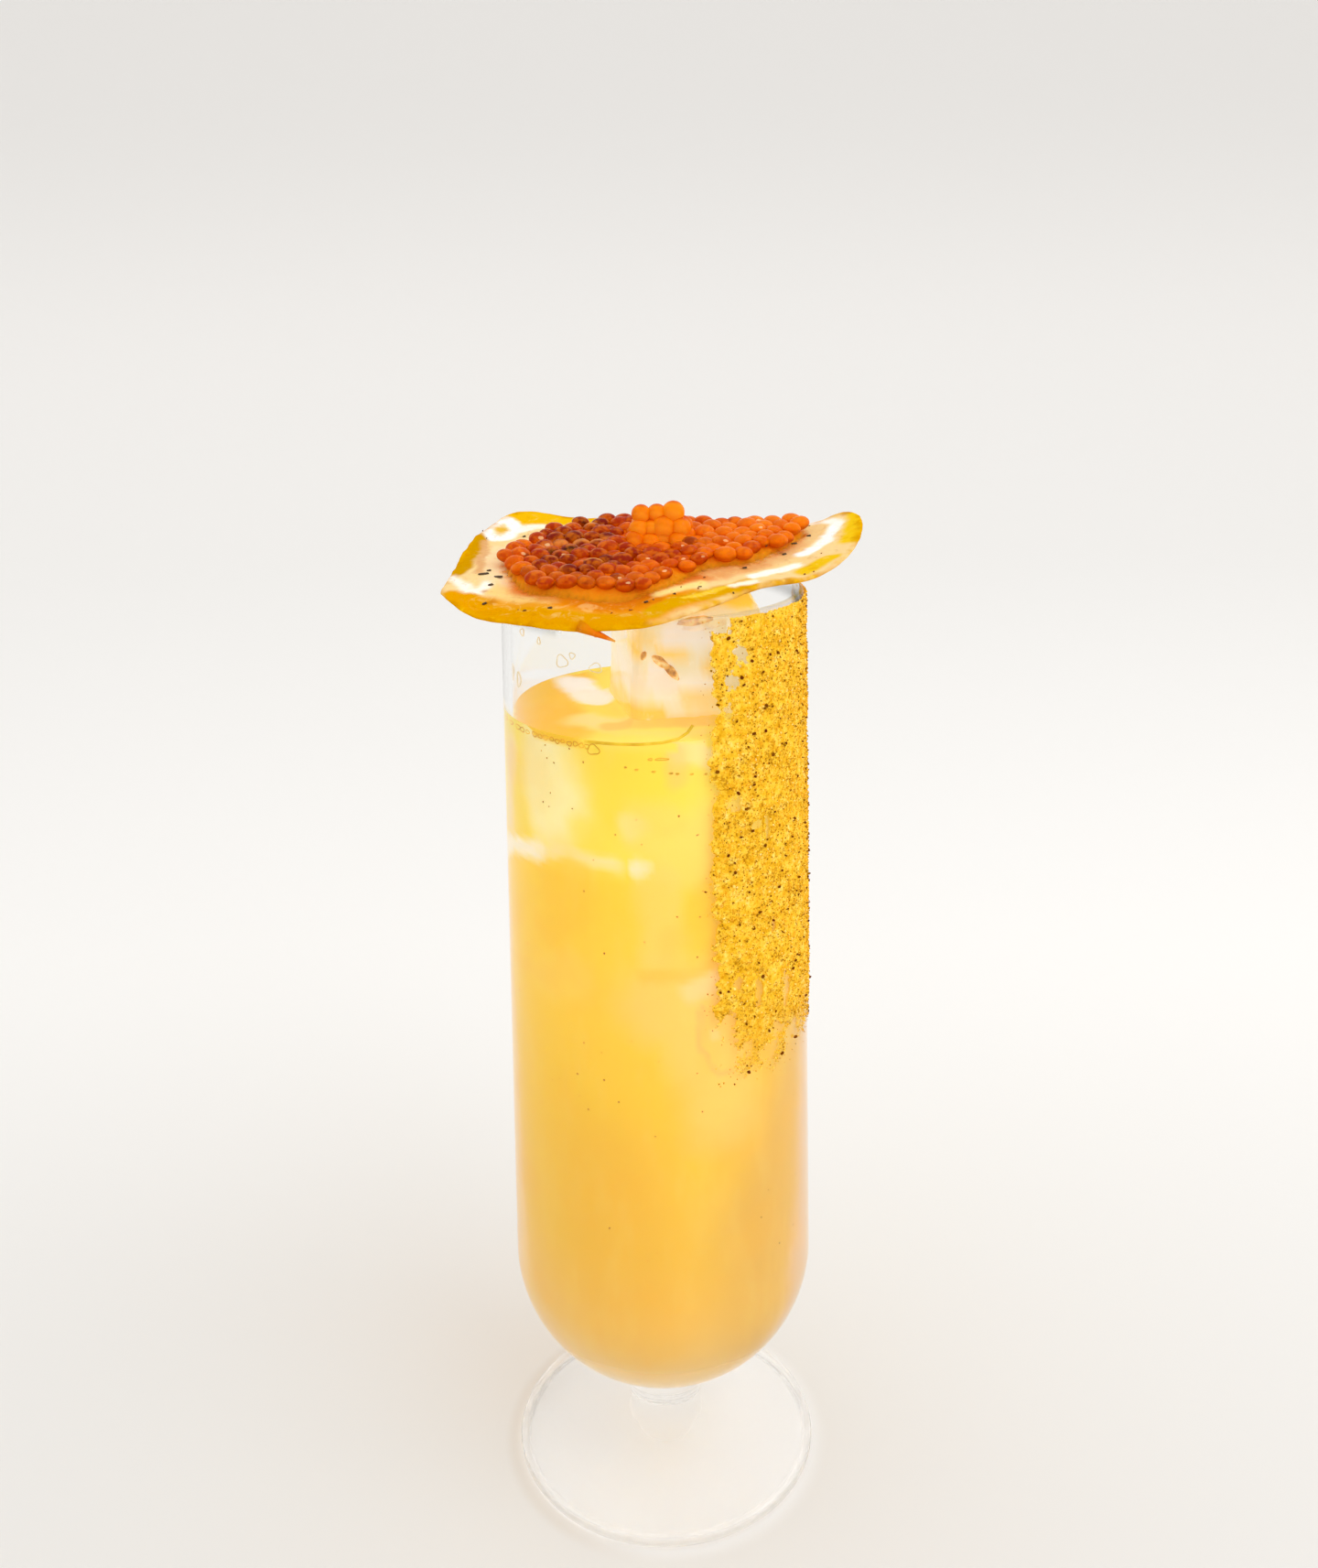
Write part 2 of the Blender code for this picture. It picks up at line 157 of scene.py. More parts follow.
def anyTurn(draw):
    axis = Vector((draw.uniform(-1, 1), draw.uniform(-1, 1), draw.uniform(-1, 1) + 0.01))
    return Matrix.Rotation(draw.uniform(0, math.tau), 3, axis.normalized())


def faceTo(normal, spin=0.0):
    # turns +Z to a surface normal, then spins about it
    return normal.to_track_quat("Z", "Y").to_matrix() @ Matrix.Rotation(spin, 3, "Z")


def fromLine(points, line):
    # how far each point is from a line of places
    line = np.array(line, dtype=float)
    best = np.linalg.norm(points - line[0], axis=1)
    for a, b in zip(line, line[1:]):
        share = np.clip((points - a) @ (b - a) / ((b - a) @ (b - a)), 0, 1)
        best = np.minimum(best, np.linalg.norm(points - a - share[:, None] * (b - a), axis=1))
    return best


def inPlan(points):
    return points[:, :2]


def brush(thing, base, strokes, seen=lambda points: points, warp=0.8, grain=5.0):
    # soft strokes in millimetres, kept as a colour on the points: line, reach, soft edge, share, colour
    count = len(thing.data.vertices)
    points = np.empty(count * 3, dtype=np.float32)
    thing.data.vertices.foreach_get("co", points)
    points = points.reshape(-1, 3).astype(float) / mm
    sway = np.array([noise.noise_vector(Vector(p) / grain) + 0.4 * noise.noise_vector(Vector(p) * 3.3 / grain) for p in points])
    near = seen(points + sway * warp)
    colours = base(points) if callable(base) else np.array(base, dtype=float) * np.ones((count, 1))
    for line, reach, soft, share, colour in strokes:
        mask = np.clip(1 - (fromLine(near, line) - reach) / soft, 0, 1)
        colours += (np.array(colour) - colours) * (mask ** 2 * (3 - 2 * mask) * share)[:, None]
    layer = thing.data.attributes.new("paint", "FLOAT_COLOR", "POINT")
    layer.data.foreach_set("color", np.hstack([colours, np.ones((count, 1))]).astype(np.float32).ravel())


def tube(name, lines, thickness):
    # round cords along lines of places, as one mesh
    startClean()
    data = bpy.data.curves.new(name, "CURVE")
    data.dimensions = "3D"
    data.bevel_depth = thickness
    data.bevel_resolution = 2
    data.use_fill_caps = True
    for places in lines:
        line = data.splines.new("POLY")
        line.points.add(len(places) - 1)
        for point, place in zip(line.points, places):
            point.co = (*place, 1)
    thing = bpy.data.objects.new(name, data)
    bpy.context.scene.collection.objects.link(thing)
    pick(thing)
    bpy.ops.object.convert(target="MESH")
    return bpy.context.object


# Materials

class Nodes:
    # a short way to lay out one material's nodes

    def __init__(self, name):
        self.material = bpy.data.materials.new(name)
        self.material.use_nodes = True
        self.tree = self.material.node_tree
        self.shader = self.tree.nodes["Principled BSDF"]
        self.place = self.add("TexCoord").outputs["Object"]

    def add(self, kind, **settings):
        node = self.tree.nodes.new("ShaderNode" + kind)
        for key, value in settings.items():
            setattr(node, key, value)
        return node

    def link(self, source, target):
        self.tree.links.new(source, target)

    def finish(self, **values):
        for key, value in values.items():
            socket = self.shader.inputs[key.replace("_", " ")]
            if isinstance(value, bpy.types.NodeSocket):
                self.link(value, socket)
            elif isinstance(value, tuple) and len(value) == 3 and socket.type == "RGBA":
                socket.default_value = (*value, 1)
            else:
                socket.default_value = value
        return self.material

    def noise(self, size, detail=3.0, rough=0.5, vector=None, warp=0.0):
        # size is the width of a feature in metres
        node = self.add("TexNoise")
        node.inputs["Scale"].default_value = 1 / size
        node.inputs["Detail"].default_value = detail
        node.inputs["Roughness"].default_value = rough
        node.inputs["Distortion"].default_value = warp
        self.link(vector or self.place, node.inputs["Vector"])
        return node.outputs["Fac"]

    def cells(self, size, feature="F1", vector=None):
        node = self.add("TexVoronoi", feature=feature)
        node.inputs["Scale"].default_value = 1 / size
        self.link(vector or self.place, node.inputs["Vector"])
        return node.outputs["Distance"]

    def spread(self, value, low, high, toLow=0.0, toHigh=1.0, smooth=True):
        node = self.add("MapRange", interpolation_type="SMOOTHSTEP" if smooth else "LINEAR")
        node.clamp = True if not smooth else node.clamp
        for key, number in zip(("From Min", "From Max", "To Min", "To Max"), (low, high, toLow, toHigh)):
            node.inputs[key].default_value = number
        self.link(value, node.inputs["Value"])
        return node.outputs["Result"]

    def maths(self, operation, a, b=0.0):
        node = self.add("Math", operation=operation)
        for socket, value in zip(node.inputs, (a, b)):
            if isinstance(value, bpy.types.NodeSocket):
                self.link(value, socket)
            else:
                socket.default_value = value
        return node.outputs[0]

    def blend(self, share, a, b, mode="MIX"):
        node = self.add("Mix", data_type="RGBA", blend_type=mode)
        for index, value in ((0, share), (6, a), (7, b)):
            if isinstance(value, bpy.types.NodeSocket):
                self.link(value, node.inputs[index])
            elif isinstance(value, tuple):
                node.inputs[index].default_value = (*value, 1)
            else:
                node.inputs[index].default_value = value
        return node.outputs[2]

    def ramp(self, value, stops):
        node = self.add("ValToRGB")
        bar = node.color_ramp
        while len(bar.elements) < len(stops):
            bar.elements.new(0.5)
        for element, (at, colour) in zip(bar.elements, stops):
            element.position = at
            element.color = (*colour, 1)
        self.link(value, node.inputs["Fac"])
        return node.outputs["Color"]

    def softBox(self, place, half, turn=(0, 0, 0), inner=1.0, outer=5.0, ragged=3.0, grain=9.0):
        # 1 inside a turned box given in millimetres, fading out around it with an uneven edge
        toBox = self.add("Mapping", vector_type="TEXTURE")
        toBox.inputs["Location"].default_value = [c * mm for c in place]
        toBox.inputs["Rotation"].default_value = [math.radians(a) for a in turn]
        self.link(self.place, toBox.inputs["Vector"])
        size = self.vector("ABSOLUTE", toBox.outputs[0])
        beyond = self.vector("SUBTRACT", size, tuple(c * mm for c in half))
        outside = self.vector("MAXIMUM", beyond, (0, 0, 0))
        length = self.add("VectorMath", operation="LENGTH")
        self.link(outside, length.inputs[0])
        away = self.maths("ADD", length.outputs["Value"], self.maths("MULTIPLY", self.noise(grain * mm, 2.0), ragged * mm))
        return self.spread(away, (inner + ragged * 0.4) * mm, (outer + ragged * 0.4) * mm, 1.0, 0.0)

    def vector(self, operation, a, b=None):
        node = self.add("VectorMath", operation=operation)
        for socket, value in zip(node.inputs, (a, b)):
            if isinstance(value, bpy.types.NodeSocket):
                self.link(value, socket)
            elif value is not None:
                socket.default_value = value
        return node.outputs[0]

    def attribute(self, name):
        return self.add("Attribute", attribute_name=name).outputs["Fac"]

    def paint(self):
        return self.add("Attribute", attribute_name="paint").outputs["Color"]

    def height(self):
        split = self.add("SeparateXYZ")
        self.link(self.place, split.inputs[0])
        return split.outputs["Z"]

    def fromAxis(self):
        flat = self.vector("MULTIPLY", self.place, (1, 1, 0))
        length = self.add("VectorMath", operation="LENGTH")
        self.link(flat, length.inputs[0])
        return length.outputs["Value"]

    def facing(self, direction):
        # how far the surface looks in a direction
        dot = self.add("VectorMath", operation="DOT_PRODUCT")
        self.link(self.add("NewGeometry").outputs["Normal"], dot.inputs[0])
        dot.inputs[1].default_value = Vector(direction).normalized()
        return dot.outputs["Value"]

    def letLampsThrough(self, tint, clearer=None):
        # lamps shine through a clear piece instead of being blocked by it
        share = self.add("LightPath").outputs["Is Shadow Ray"]
        if clearer:
            share = self.maths("MAXIMUM", share, clearer)
        clear = self.add("BsdfTransparent")
        clear.inputs["Color"].default_value = (*tint, 1)
        join = self.add("MixShader")
        self.link(share, join.inputs[0])
        self.link(self.shader.outputs[0], join.inputs[1])
        self.link(clear.outputs[0], join.inputs[2])
        self.link(join.outputs[0], self.tree.nodes["Material Output"].inputs["Surface"])

    def stretched(self, scale):
        node = self.add("Mapping")
        node.inputs["Scale"].default_value = scale
        self.link(self.place, node.inputs["Vector"])
        return node.outputs[0]

    def bump(self, value, depth, strength=1.0):
        node = self.add("Bump")
        node.inputs["Distance"].default_value = depth
        node.inputs["Strength"].default_value = strength
        self.link(value, node.inputs["Height"])
        return node.outputs["Normal"]


def shade(red, green, blue):
    # a colour as it looks on screen, 0 to 255, as the shader's own numbers
    return tuple((c / 255 / 12.92) if c < 10.3 else ((c / 255 + 0.055) / 1.055) ** 2.4 for c in (red, green, blue))


# The glass

glassShape = {
    "height": 220 * mm, "rim": 31.1 * mm, "belly": 35.5 * mm, "bellyAt": 60 * mm, "drop": 34.1 * mm,
    "wall": 1.9 * mm, "floor": 4.8 * mm, "foot": 37.4 * mm, "edge": 2.8 * mm, "crown": 8.0 * mm, "stem": 8.8 * mm,
    "fillet": 2.0 * mm, "sides": 144,
}


def outerRadius(height):
    g = glassShape
    if height >= g["bellyAt"]:
        return g["belly"] + (g["rim"] - g["belly"]) * (height - g["bellyAt"]) / (g["height"] - g["bellyAt"])
    return g["belly"] * math.sqrt(max(0.0, 1 - ((g["bellyAt"] - height) / g["drop"]) ** 2))


def bowlCurve(radius, drop, startDegrees, steps):
    # round bottom, from near the axis up to the straight wall
    curve = []
    for k in range(steps + 1):
        angle = math.radians(startDegrees + (90 - startDegrees) * k / steps)
        curve.append((radius * math.sin(angle), glassShape["bellyAt"] - drop * math.cos(angle)))
    return curve


def arc(centre, radius, fromDegrees, toDegrees, steps):
    angles = [math.radians(fromDegrees + (toDegrees - fromDegrees) * k / steps) for k in range(steps + 1)]
    return [(centre[0] + radius * math.cos(a), centre[1] + radius * math.sin(a)) for a in angles]


def glassProfile():
    g = glassShape
    half = g["edge"] / 2
    line = [(4 * mm, 0), (20 * mm, 0)] + arc((g["foot"] - half, half), half, -90, 90, 10)
    fillet = g["fillet"]
    reach = g["foot"] - half - g["stem"] - 0.455 * fillet
    for k in range(1, 16):
        share = k / 15
        line.append((g["foot"] - half - reach * share, g["edge"] + (g["crown"] - g["edge"]) * share ** 3.2))
    line += arc((g["stem"] + fillet, g["crown"] + 0.84 * fillet), fillet, 234, 190, 7)
    stemTop = 26.8 * mm
    stemFoot = line[-1]
    for k in range(1, 13):
        share = k / 12
        line.append((stemFoot[0] + 4.6 * mm * share ** 2.4, stemFoot[1] + (stemTop - stemFoot[1]) * share))
    line += bowlCurve(g["belly"], g["drop"], 25, 22)
    bead = g["wall"] / 2
    # rings crowd together under the rim, so that its roundness does not bend the look of the wall
    below = [0.3 * mm, 0.8 * mm, 1.8 * mm, 4 * mm, 9 * mm] + [20 * mm + 17 * mm * k for k in range(8)]
    wall = [g["height"] - bead - down for down in below]
    for height in wall[::-1]:
        line.append((outerRadius(height), height))
    line += arc((g["rim"] - bead, g["height"] - bead), bead, 2, 178, 10)
    for height in wall:
        line.append((outerRadius(height) - g["wall"], height))
    inner = bowlCurve(g["belly"] - g["wall"], g["drop"] - g["floor"], 4, 24)
    return line + inner[::-1]


def clearGlass():
    n = Nodes("clearGlass")
    # the foot is the clearest part
    clearer = n.maths(
        "MULTIPLY", n.spread(n.height(), 6 * mm, 19 * mm, 0.72, 0.0), n.spread(n.fromAxis(), 34.6 * mm, 36 * mm, 1.0, 0.3),
    )
    n.letLampsThrough((1, 1, 1), n.maths("MAXIMUM", clearer, n.spread(n.height(), 215 * mm, 219 * mm, 0.0, 0.75)))
    ripple = n.noise(14 * mm, 1.0)
    ground = n.spread(n.height(), 0.1 * mm, 0.3 * mm, 0.45, 0.0)
    return n.finish(
        Base_Color=(0.995, 1.0, 1.0), Roughness=ground, IOR=1.5, Specular_IOR_Level=0.3, Transmission_Weight=1.0,
        Normal=n.bump(ripple, 0.1 * mm, 0.15),
    )


# The drink

def onWall(*pairs):
    # places on the drink's side: degrees from the front, then mm up
    places = []
    for angle, height in pairs:
        radius = outerRadius(height * mm) / mm - 1.8
        places.append((radius * math.sin(math.radians(angle)), -radius * math.cos(math.radians(angle)), height))
    return places


drinkLook = {
    "level": 195.5 * mm, "meniscus": 0.5 * mm, "intoWall": 0.12 * mm, "sides": 200, "rows": 110, "glow": 0.36,
    # how the colour goes from the bottom to the top, as shares of the height
    "bands": [
        (0.0, shade(234, 204, 144)), (0.12, shade(235, 197, 118)), (0.22, shade(238, 194, 84)),
        (0.3, shade(239, 196, 66)), (0.52, shade(246, 204, 56)), (0.7, shade(254, 212, 66)),
        (0.82, shade(255, 213, 56)), (0.87, shade(255, 226, 84)), (1.0, shade(255, 228, 84)),
    ],
    # sunken ice and light in the drink, and painted shade on its right side
    "clouds": [
        (onWall((-42, 191), (-42, 181)), 5, 7, 0.75, shade(255, 246, 196)),
        (onWall((-70, 190), (-74, 172)), 0.5, 4, 0.7, shade(250, 222, 176)),
        (onWall((-62, 178), (-63, 172)), 1.5, 4, 0.6, shade(252, 218, 66)),
        (onWall((-18, 193), (-5, 192), (-8, 184)), 5, 8, 0.8, shade(254, 222, 64)),
        (onWall((-28, 177), (-14, 172)), 1.2, 4, 0.7, shade(255, 226, 80)),
        (onWall((-82, 165), (-66, 168), (-49, 170.8)), 0.9, 2, 0.95, shade(255, 246, 222)),
        (onWall((-49, 170.8), (-34, 171.7), (-14, 170.5)), 0.1, 2.2, 0.7, shade(255, 240, 186)),
        (onWall((-6.4, 170.6), (-4.4, 170)), 0.4, 2, 0.9, shade(255, 244, 216)),
        (onWall((-8.4, 178.5)), 1.2, 3, 0.7, shade(255, 236, 170)),
        (onWall((11, 193.6), (20, 193)), 1.4, 3, 0.7, shade(255, 236, 170)),
        (onWall((8.6, 194), (8.6, 189)), 0.8, 3, 0.6, shade(252, 204, 110)),
        (onWall((0, 178), (12, 172), (21, 177)), 3, 7, 0.6, shade(255, 220, 116)),
        (onWall((1.4, 166.4), (2, 153)), 2.2, 4.5, 0.6, shade(254, 216, 116)),
        (onWall((-46, 142), (-34, 144)), 2.2, 6, 0.55, shade(254, 218, 96)),
        (onWall((0, 140.5), (14, 141), (24, 112)), 4, 9, 0.6, shade(254, 210, 120)),
        (onWall((12, 143), (20, 143)), 1.2, 3, 0.7, shade(255, 220, 156)),
        (onWall((-4, 147), (8, 146.4), (20, 148)), 0.8, 2, 0.5, shade(248, 194, 60)),
        (onWall((15, 138), (14.5, 133), (16.6, 128.8), (20.5, 124.5), (25, 122)), 0.35, 0.7, 0.5, shade(238, 184, 104)),
        (onWall((20.3, 132.4)), 0.9, 0.8, 0.8, shade(255, 218, 140)),
        (onWall((-85, 160), (-76, 100), (-70, 60)), 0.8, 5, 0.6, shade(250, 208, 140)),
        # painted shade: the right side of the drink darker
        (onWall((75, 112), (54, 84), (58, 50)), 9, 20, 0.85, shade(220, 176, 80)),
        (onWall((84, 120), (76, 80), (64, 46)), 3, 9, 0.85, shade(222, 186, 142)),
        (onWall((-20, 100), (-10, 60)), 5, 16, 0.4, shade(238, 184, 56)),
        (onWall((146, 178), (172, 166)), 4, 16, 0.5, shade(255, 236, 180)),
        (onWall((-156, 152), (-126, 144)), 3, 17, 0.45, shade(255, 232, 165)),
        (onWall((108, 112), (138, 102)), 4, 18, 0.4, shade(252, 222, 140)),
        (onWall((-112, 100), (-95, 112)), 4, 16, 0.35, shade(252, 222, 140)),
        # the surface, in plan
        ([(-20, -20, 296), (-26, 0, 296), (-22, 20, 296)], 6, 5, 0.9, shade(252, 198, 20)),
        # painted highlight: a white reflection on the surface
        ([(-18, 18, 296), (-14.5, 6, 296), (-12.5, 1.5, 296)], 2.4, 3, 1.0, shade(255, 253, 248)),
        ([(-14, -13, 296), (-8, -16, 296)], 1.6, 5, 0.9, shade(255, 238, 150)),
        ([(-8, -17, 296), (11, -15, 296)], 1.8, 2.6, 0.8, shade(250, 200, 80)),
        ([(-6, -21.8, 296), (6, -22.8, 296), (13, -20, 296)], 0.8, 2, 0.9, shade(255, 224, 100)),
    ],
}


def drinkTone(points):
    # the bands from the bottom to the top, a little uneven
    share = np.clip((points[:, 2] - 30) / 166, 0, 1)
    stops = [at for at, _ in drinkLook["bands"]]
    return np.stack([np.interp(share, stops, [colour[k] for _, colour in drinkLook["bands"]]) for k in range(3)], axis=1)


def drinkProfile():
    d = drinkLook
    g = glassShape
    wall = g["wall"] - d["intoWall"]
    line = bowlCurve(g["belly"] - wall, g["drop"] - g["floor"] + d["intoWall"], 4, 24)
    top = d["level"] + d["meniscus"]
    for k in range(1, d["rows"]):
        height = g["bellyAt"] + (top - g["bellyAt"]) * k / d["rows"]
        line.append((outerRadius(height) - wall, height))
    for down in (0.8 * mm, 0.4 * mm, 0.1 * mm, 0):
        line.append((outerRadius(top - down) - wall, top - down))
    edge = line[-1][0]
    for away in (0.06, 0.25, 0.5, 0.8, 1.2, 1.7, 2.4, *range(3, 30)):
        climb = d["meniscus"] * math.exp(-away / 0.8) if away < 7 else 0.0
        line.append((edge - away * mm, d["level"] + climb))
    return line


def amberDrink():
    d = drinkLook
    n = Nodes("amberDrink")
    streaks = n.spread(n.noise(7 * mm, 4.0, 0.6, vector=n.stretched((1, 1, 0.3))), 0.45, 0.75, 0.0, 0.12)
    colour = n.blend(streaks, n.paint(), shade(255, 228, 130))
    colour = n.blend(n.spread(n.noise(16 * mm, 2.0), 0.5, 0.7, 0.0, 0.2), colour, shade(244, 184, 50))
    n.letLampsThrough((0.5, 0.36, 0.16))
    # painted glow: the drink gives out light in its own colour, though it is no lamp
    return n.finish(
        Base_Color=colour, Roughness=0.05, IOR=1.34, Specular_IOR_Level=0.0, Subsurface_Weight=0.3,
        Subsurface_Radius=(1.0, 0.7, 0.3), Subsurface_Scale=2.5 * mm,
        Emission_Color=colour, Emission_Strength=d["glow"],
    )


def buildDrink():
    d = drinkLook
    drink = turnOnAxis(drinkProfile(), d["sides"])
    tip = Matrix.Rotation(iceShape["lean"], 4, "Y") @ Matrix.Rotation(iceShape["turn"], 4, "Z")
    back = (Matrix.Translation(iceShape["centre"]) @ tip).inverted()
    half = iceShape["width"] / 2
    for vertex in drink.data.vertices:
        world = drink.matrix_world @ vertex.co
        if abs(world.z - d["level"]) < 0.6 * mm and math.hypot(world.x, world.y) < 31 * mm:
            near = back @ Vector((world.x, world.y, 0))
            away = math.hypot(max(0, abs(near.x) - half), max(0, abs(near.y) - half))
            vertex.co.z += 1.0 * mm * math.exp(-away / (0.9 * mm))
    settle(drink, "drinkBody", amberDrink(), "amber_drink", "drink")
    # the surface counts as 100 mm higher, so that its strokes and the side's stay apart
    top = lambda p: p + np.outer((p[:, 2] > 194.2) & (np.hypot(p[:, 0], p[:, 1]) < 30.2), (0, 0, 100))
    brush(drink, drinkTone, d["clouds"], top, 1.6, 9)


# Bubbles, the line where the drink meets the glass, and specks in the drink

bubbleLook = {
    # all as degrees from the front and mm up
    "line": [(-64, 195.7), (-50, 195.6), (-38, 195.6), (-26, 195.6), (-14, 195.6), (-5, 195.7), (3, 196), (8.5, 196.6), (12, 197.7), (14.4, 199.4)],
    "thick": 0.3 * mm, "thin": 0.1 * mm,
    # rings of froth left on the wall: angle, height, half width, half height
    "rings": [
        (-68.6, 205.4, 0.9, 1.6), (-61.4, 204.6, 0.8, 1.5), (-35.6, 210.7, 1.3, 1.2), (-30.9, 212.1, 0.6, 0.6), (-21.3, 210.2, 1.2, 0.9),
        (-57.9, 214.6, 0.7, 0.7), (-47.1, 213.8, 0.4, 0.7), (-22.6, 194.1, 1.2, 1.0),
    ],
    "dots": [
        (-32.6, 193.6), (-26.8, 191.3), (-14.8, 177.1), (-7, 180.4), (8.4, 181), (-5.2, 175.3), (15.4, 176.8), (7.2, 159.8),
        (15.6, 159.3), (-19.9, 151.3), (14.4, 150.6), (-28.9, 130), (-21.8, 128.6), (-44.5, 118.3), (-40.5, 119.4), (-32, 122.2),
        (-20.9, 122.3), (-31.4, 117), (-51, 111), (-27.6, 114.4), (-15.4, 117.6), (-0.3, 127.6), (13.7, 124.2), (-46.1, 181.1),
        (-43, 180.5), (-46.4, 191.8), (-43.5, 190.6), (-40, 190), (-44.3, 193.2), (44, 90), (40, 84), (50, 74),
    ],
}


def bubbleGold():
    n = Nodes("bubbleGold")
    patch = n.noise(2.5 * mm, 3.0)
    dark = n.ramp(patch, [(0.35, shade(176, 140, 0)), (0.5, shade(196, 160, 0)), (0.65, shade(220, 184, 40))])
    light = n.ramp(patch, [(0.35, shade(208, 168, 0)), (0.5, shade(222, 184, 10)), (0.65, shade(234, 200, 50))])
    gold = n.blend(n.spread(n.height(), 195.2 * mm, 195.5 * mm), dark, light)
    froth = n.ramp(patch, [(0.35, shade(214, 196, 138)), (0.65, shade(240, 226, 188))])
    colour = n.blend(n.spread(n.height(), 200.5 * mm, 202 * mm), gold, froth)
    # painted glow: the gold gives out light in its own colour
    return n.finish(
        Base_Color=colour, Roughness=0.4, Specular_IOR_Level=0.1, Emission_Color=colour, Emission_Strength=0.5,
    )


def ringOn(angle, height, halfWidth, halfHeight, proud, steps=20):
    # an uneven loop lying on the wall
    places = []
    for k in range(steps + 1):
        turn = math.tau * k / steps
        grow = 1 + 0.15 * math.sin(3 * turn + angle)
        z = (height + halfHeight * grow * math.sin(turn)) * mm
        radius = outerRadius(z) - glassShape["wall"] + proud
        around = math.radians(angle) + halfWidth * grow * math.cos(turn) * mm / radius
        places.append((radius * math.sin(around), -radius * math.cos(around), z))
    return places


def buildBubbles():
    b = bubbleLook
    gold = bubbleGold()
    draw = random.Random(4)
    curve = []
    for k in range(len(b["line"]) - 1):
        (a, low), (c, high) = b["line"][k], b["line"][k + 1]
        for step in range(6):
            share = step / 6
            curve.append((a + (c - a) * share, low + (high - low) * share))
    ring = []
    for angle, height in curve:
        radius = outerRadius(height * mm) - glassShape["wall"] + 0.14 * mm
        ring.append((radius * math.sin(math.radians(angle)), -radius * math.cos(math.radians(angle)), height * mm))
    # painted reflection: the gold line where the drink meets the glass stands for light that the drink's surface
    # reflects there
    line = tube("drinkLine", [ring[len(ring) // 3:]], b["thick"])
    settle(line, "drinkLine", gold, "amber_drink")
    loops = []
    for angle, height, halfWidth, halfHeight in b["rings"]:
        loops.append(ringOn(angle, height, halfWidth, halfHeight, 0.24 * mm if height < 195 else -0.15 * mm))
    for k in range(15):  # a chain of small bubbles along the left of the line
        angle = math.degrees(math.asin((-30.1 + 1.2 * k + draw.uniform(-0.2, 0.2)) / 31.2))
        size = draw.uniform(0.36, 0.52)
        wide = size / max(0.35, math.cos(math.radians(angle)))
        loops.append(ringOn(angle, 195.1 - size + draw.uniform(-0.1, 0.2), wide, size, 0.24 * mm, 14))
    for k in range(9):  # a dotted row of fine froth below it
        angle = -10 + 38 * k / 8 + draw.uniform(-1.5, 1.5)
        loops.append(ringOn(angle, 190.9 - 0.33 * k + draw.uniform(-0.2, 0.2), draw.uniform(0.2, 0.6), 0.12, 0.16 * mm, 10))
    for angle, halfWidth in ((2.5, 1.3), (-1.6, 0.4)):
        loops.append(ringOn(angle, 192.7, halfWidth, 0.2, 0.16 * mm, 12))
    rings = tube("frothRings", loops, b["thin"])
    settle(rings, "frothRings", gold, "amber_drink")
    startClean()
    bpy.ops.mesh.primitive_ico_sphere_add(subdivisions=2, radius=1)
    seed = bpy.context.object
    places = []
    for angle, height in b["dots"] + [(draw.uniform(-178, 178), draw.uniform(70, 188)) for _ in range(90)]:
        if 20 < angle < 100 and height > 118:
            continue
        radius = outerRadius(height * mm) - glassShape["wall"] + 0.12 * mm
        where = Vector((radius * math.sin(math.radians(angle)), -radius * math.cos(math.radians(angle)), height * mm))
        size = draw.uniform(0.12, 0.24) * mm
        places.append(placed(where, anyTurn(draw), (size, size, size * 0.6)))
    dots = joinedCopies("drinkSpecks", seed.data, places)
    toneEach(dots, len(seed.data.vertices), [draw.uniform(0.35, 0.9) for _ in places])
    bpy.data.objects.remove(seed)
    settle(dots, "drinkSpecks", spiceDark(), "golden_spice")


# The ice

iceShape = {
    "width": 26.5 * mm, "centre": Vector((5.5, -1.5, 0)) * mm, "foot": 168 * mm, "frontTop": 218.6 * mm,
    "backTop": 226.6 * mm, "turn": math.radians(14), "lean": math.radians(3), "edge": 3.2 * mm, "melt": 0.45 * mm,
    "level": 195.5 * mm,
}


# amber and white patches in the ice, seen from the front: x and height; the amber ones are painted reflections of the
# drink
iceLook = [
    ([(-9.4, 214), (-8.6, 202)], 1.2, 2.4, 0.8, shade(242, 232, 186)),
    ([(-5.6, 215.4), (-3.6, 211.6)], 0.9, 1.0, 1.0, shade(250, 212, 76)),
    ([(-1.6, 213.4)], 1.2, 1.6, 0.8, shade(246, 216, 120)),
    ([(-6.5, 206), (-2.6, 203)], 1.6, 2.2, 0.8, shade(238, 234, 220)),
    ([(3.4, 213.4), (10.6, 212)], 1.9, 1.1, 1.0, shade(240, 242, 244)),
    ([(0.6, 211.6), (4.5, 208.6), (11.3, 207.2)], 0.9, 0.9, 1.0, shade(250, 214, 96)),
    ([(1.4, 205), (3.4, 200)], 2.2, 1.2, 1.0, shade(240, 240, 238)),
    ([(7, 204.2), (11.6, 203.6)], 1.2, 1.1, 1.0, shade(246, 248, 248)),
    ([(7.4, 200.6), (12, 200)], 1.0, 1.8, 0.9, shade(244, 220, 150)),
    ([(-8, 198.4), (0, 197.8)], 1.7, 1.6, 1.0, shade(250, 204, 64)),
    ([(-9, 195.6), (14, 195.6)], 0.9, 1.6, 0.95, shade(248, 208, 80)),
    ([(-12, 224), (24, 224)], 5.5, 1.6, 1.0, shade(248, 218, 80)),
]


def iceFrame():
    middle = Matrix.Translation((0, 0, iceShape["level"]))
    tip = Matrix.Rotation(iceShape["lean"], 4, "Y") @ Matrix.Rotation(iceShape["turn"], 4, "Z")
    return Matrix.Translation(iceShape["centre"]) @ middle @ tip @ middle.inverted()


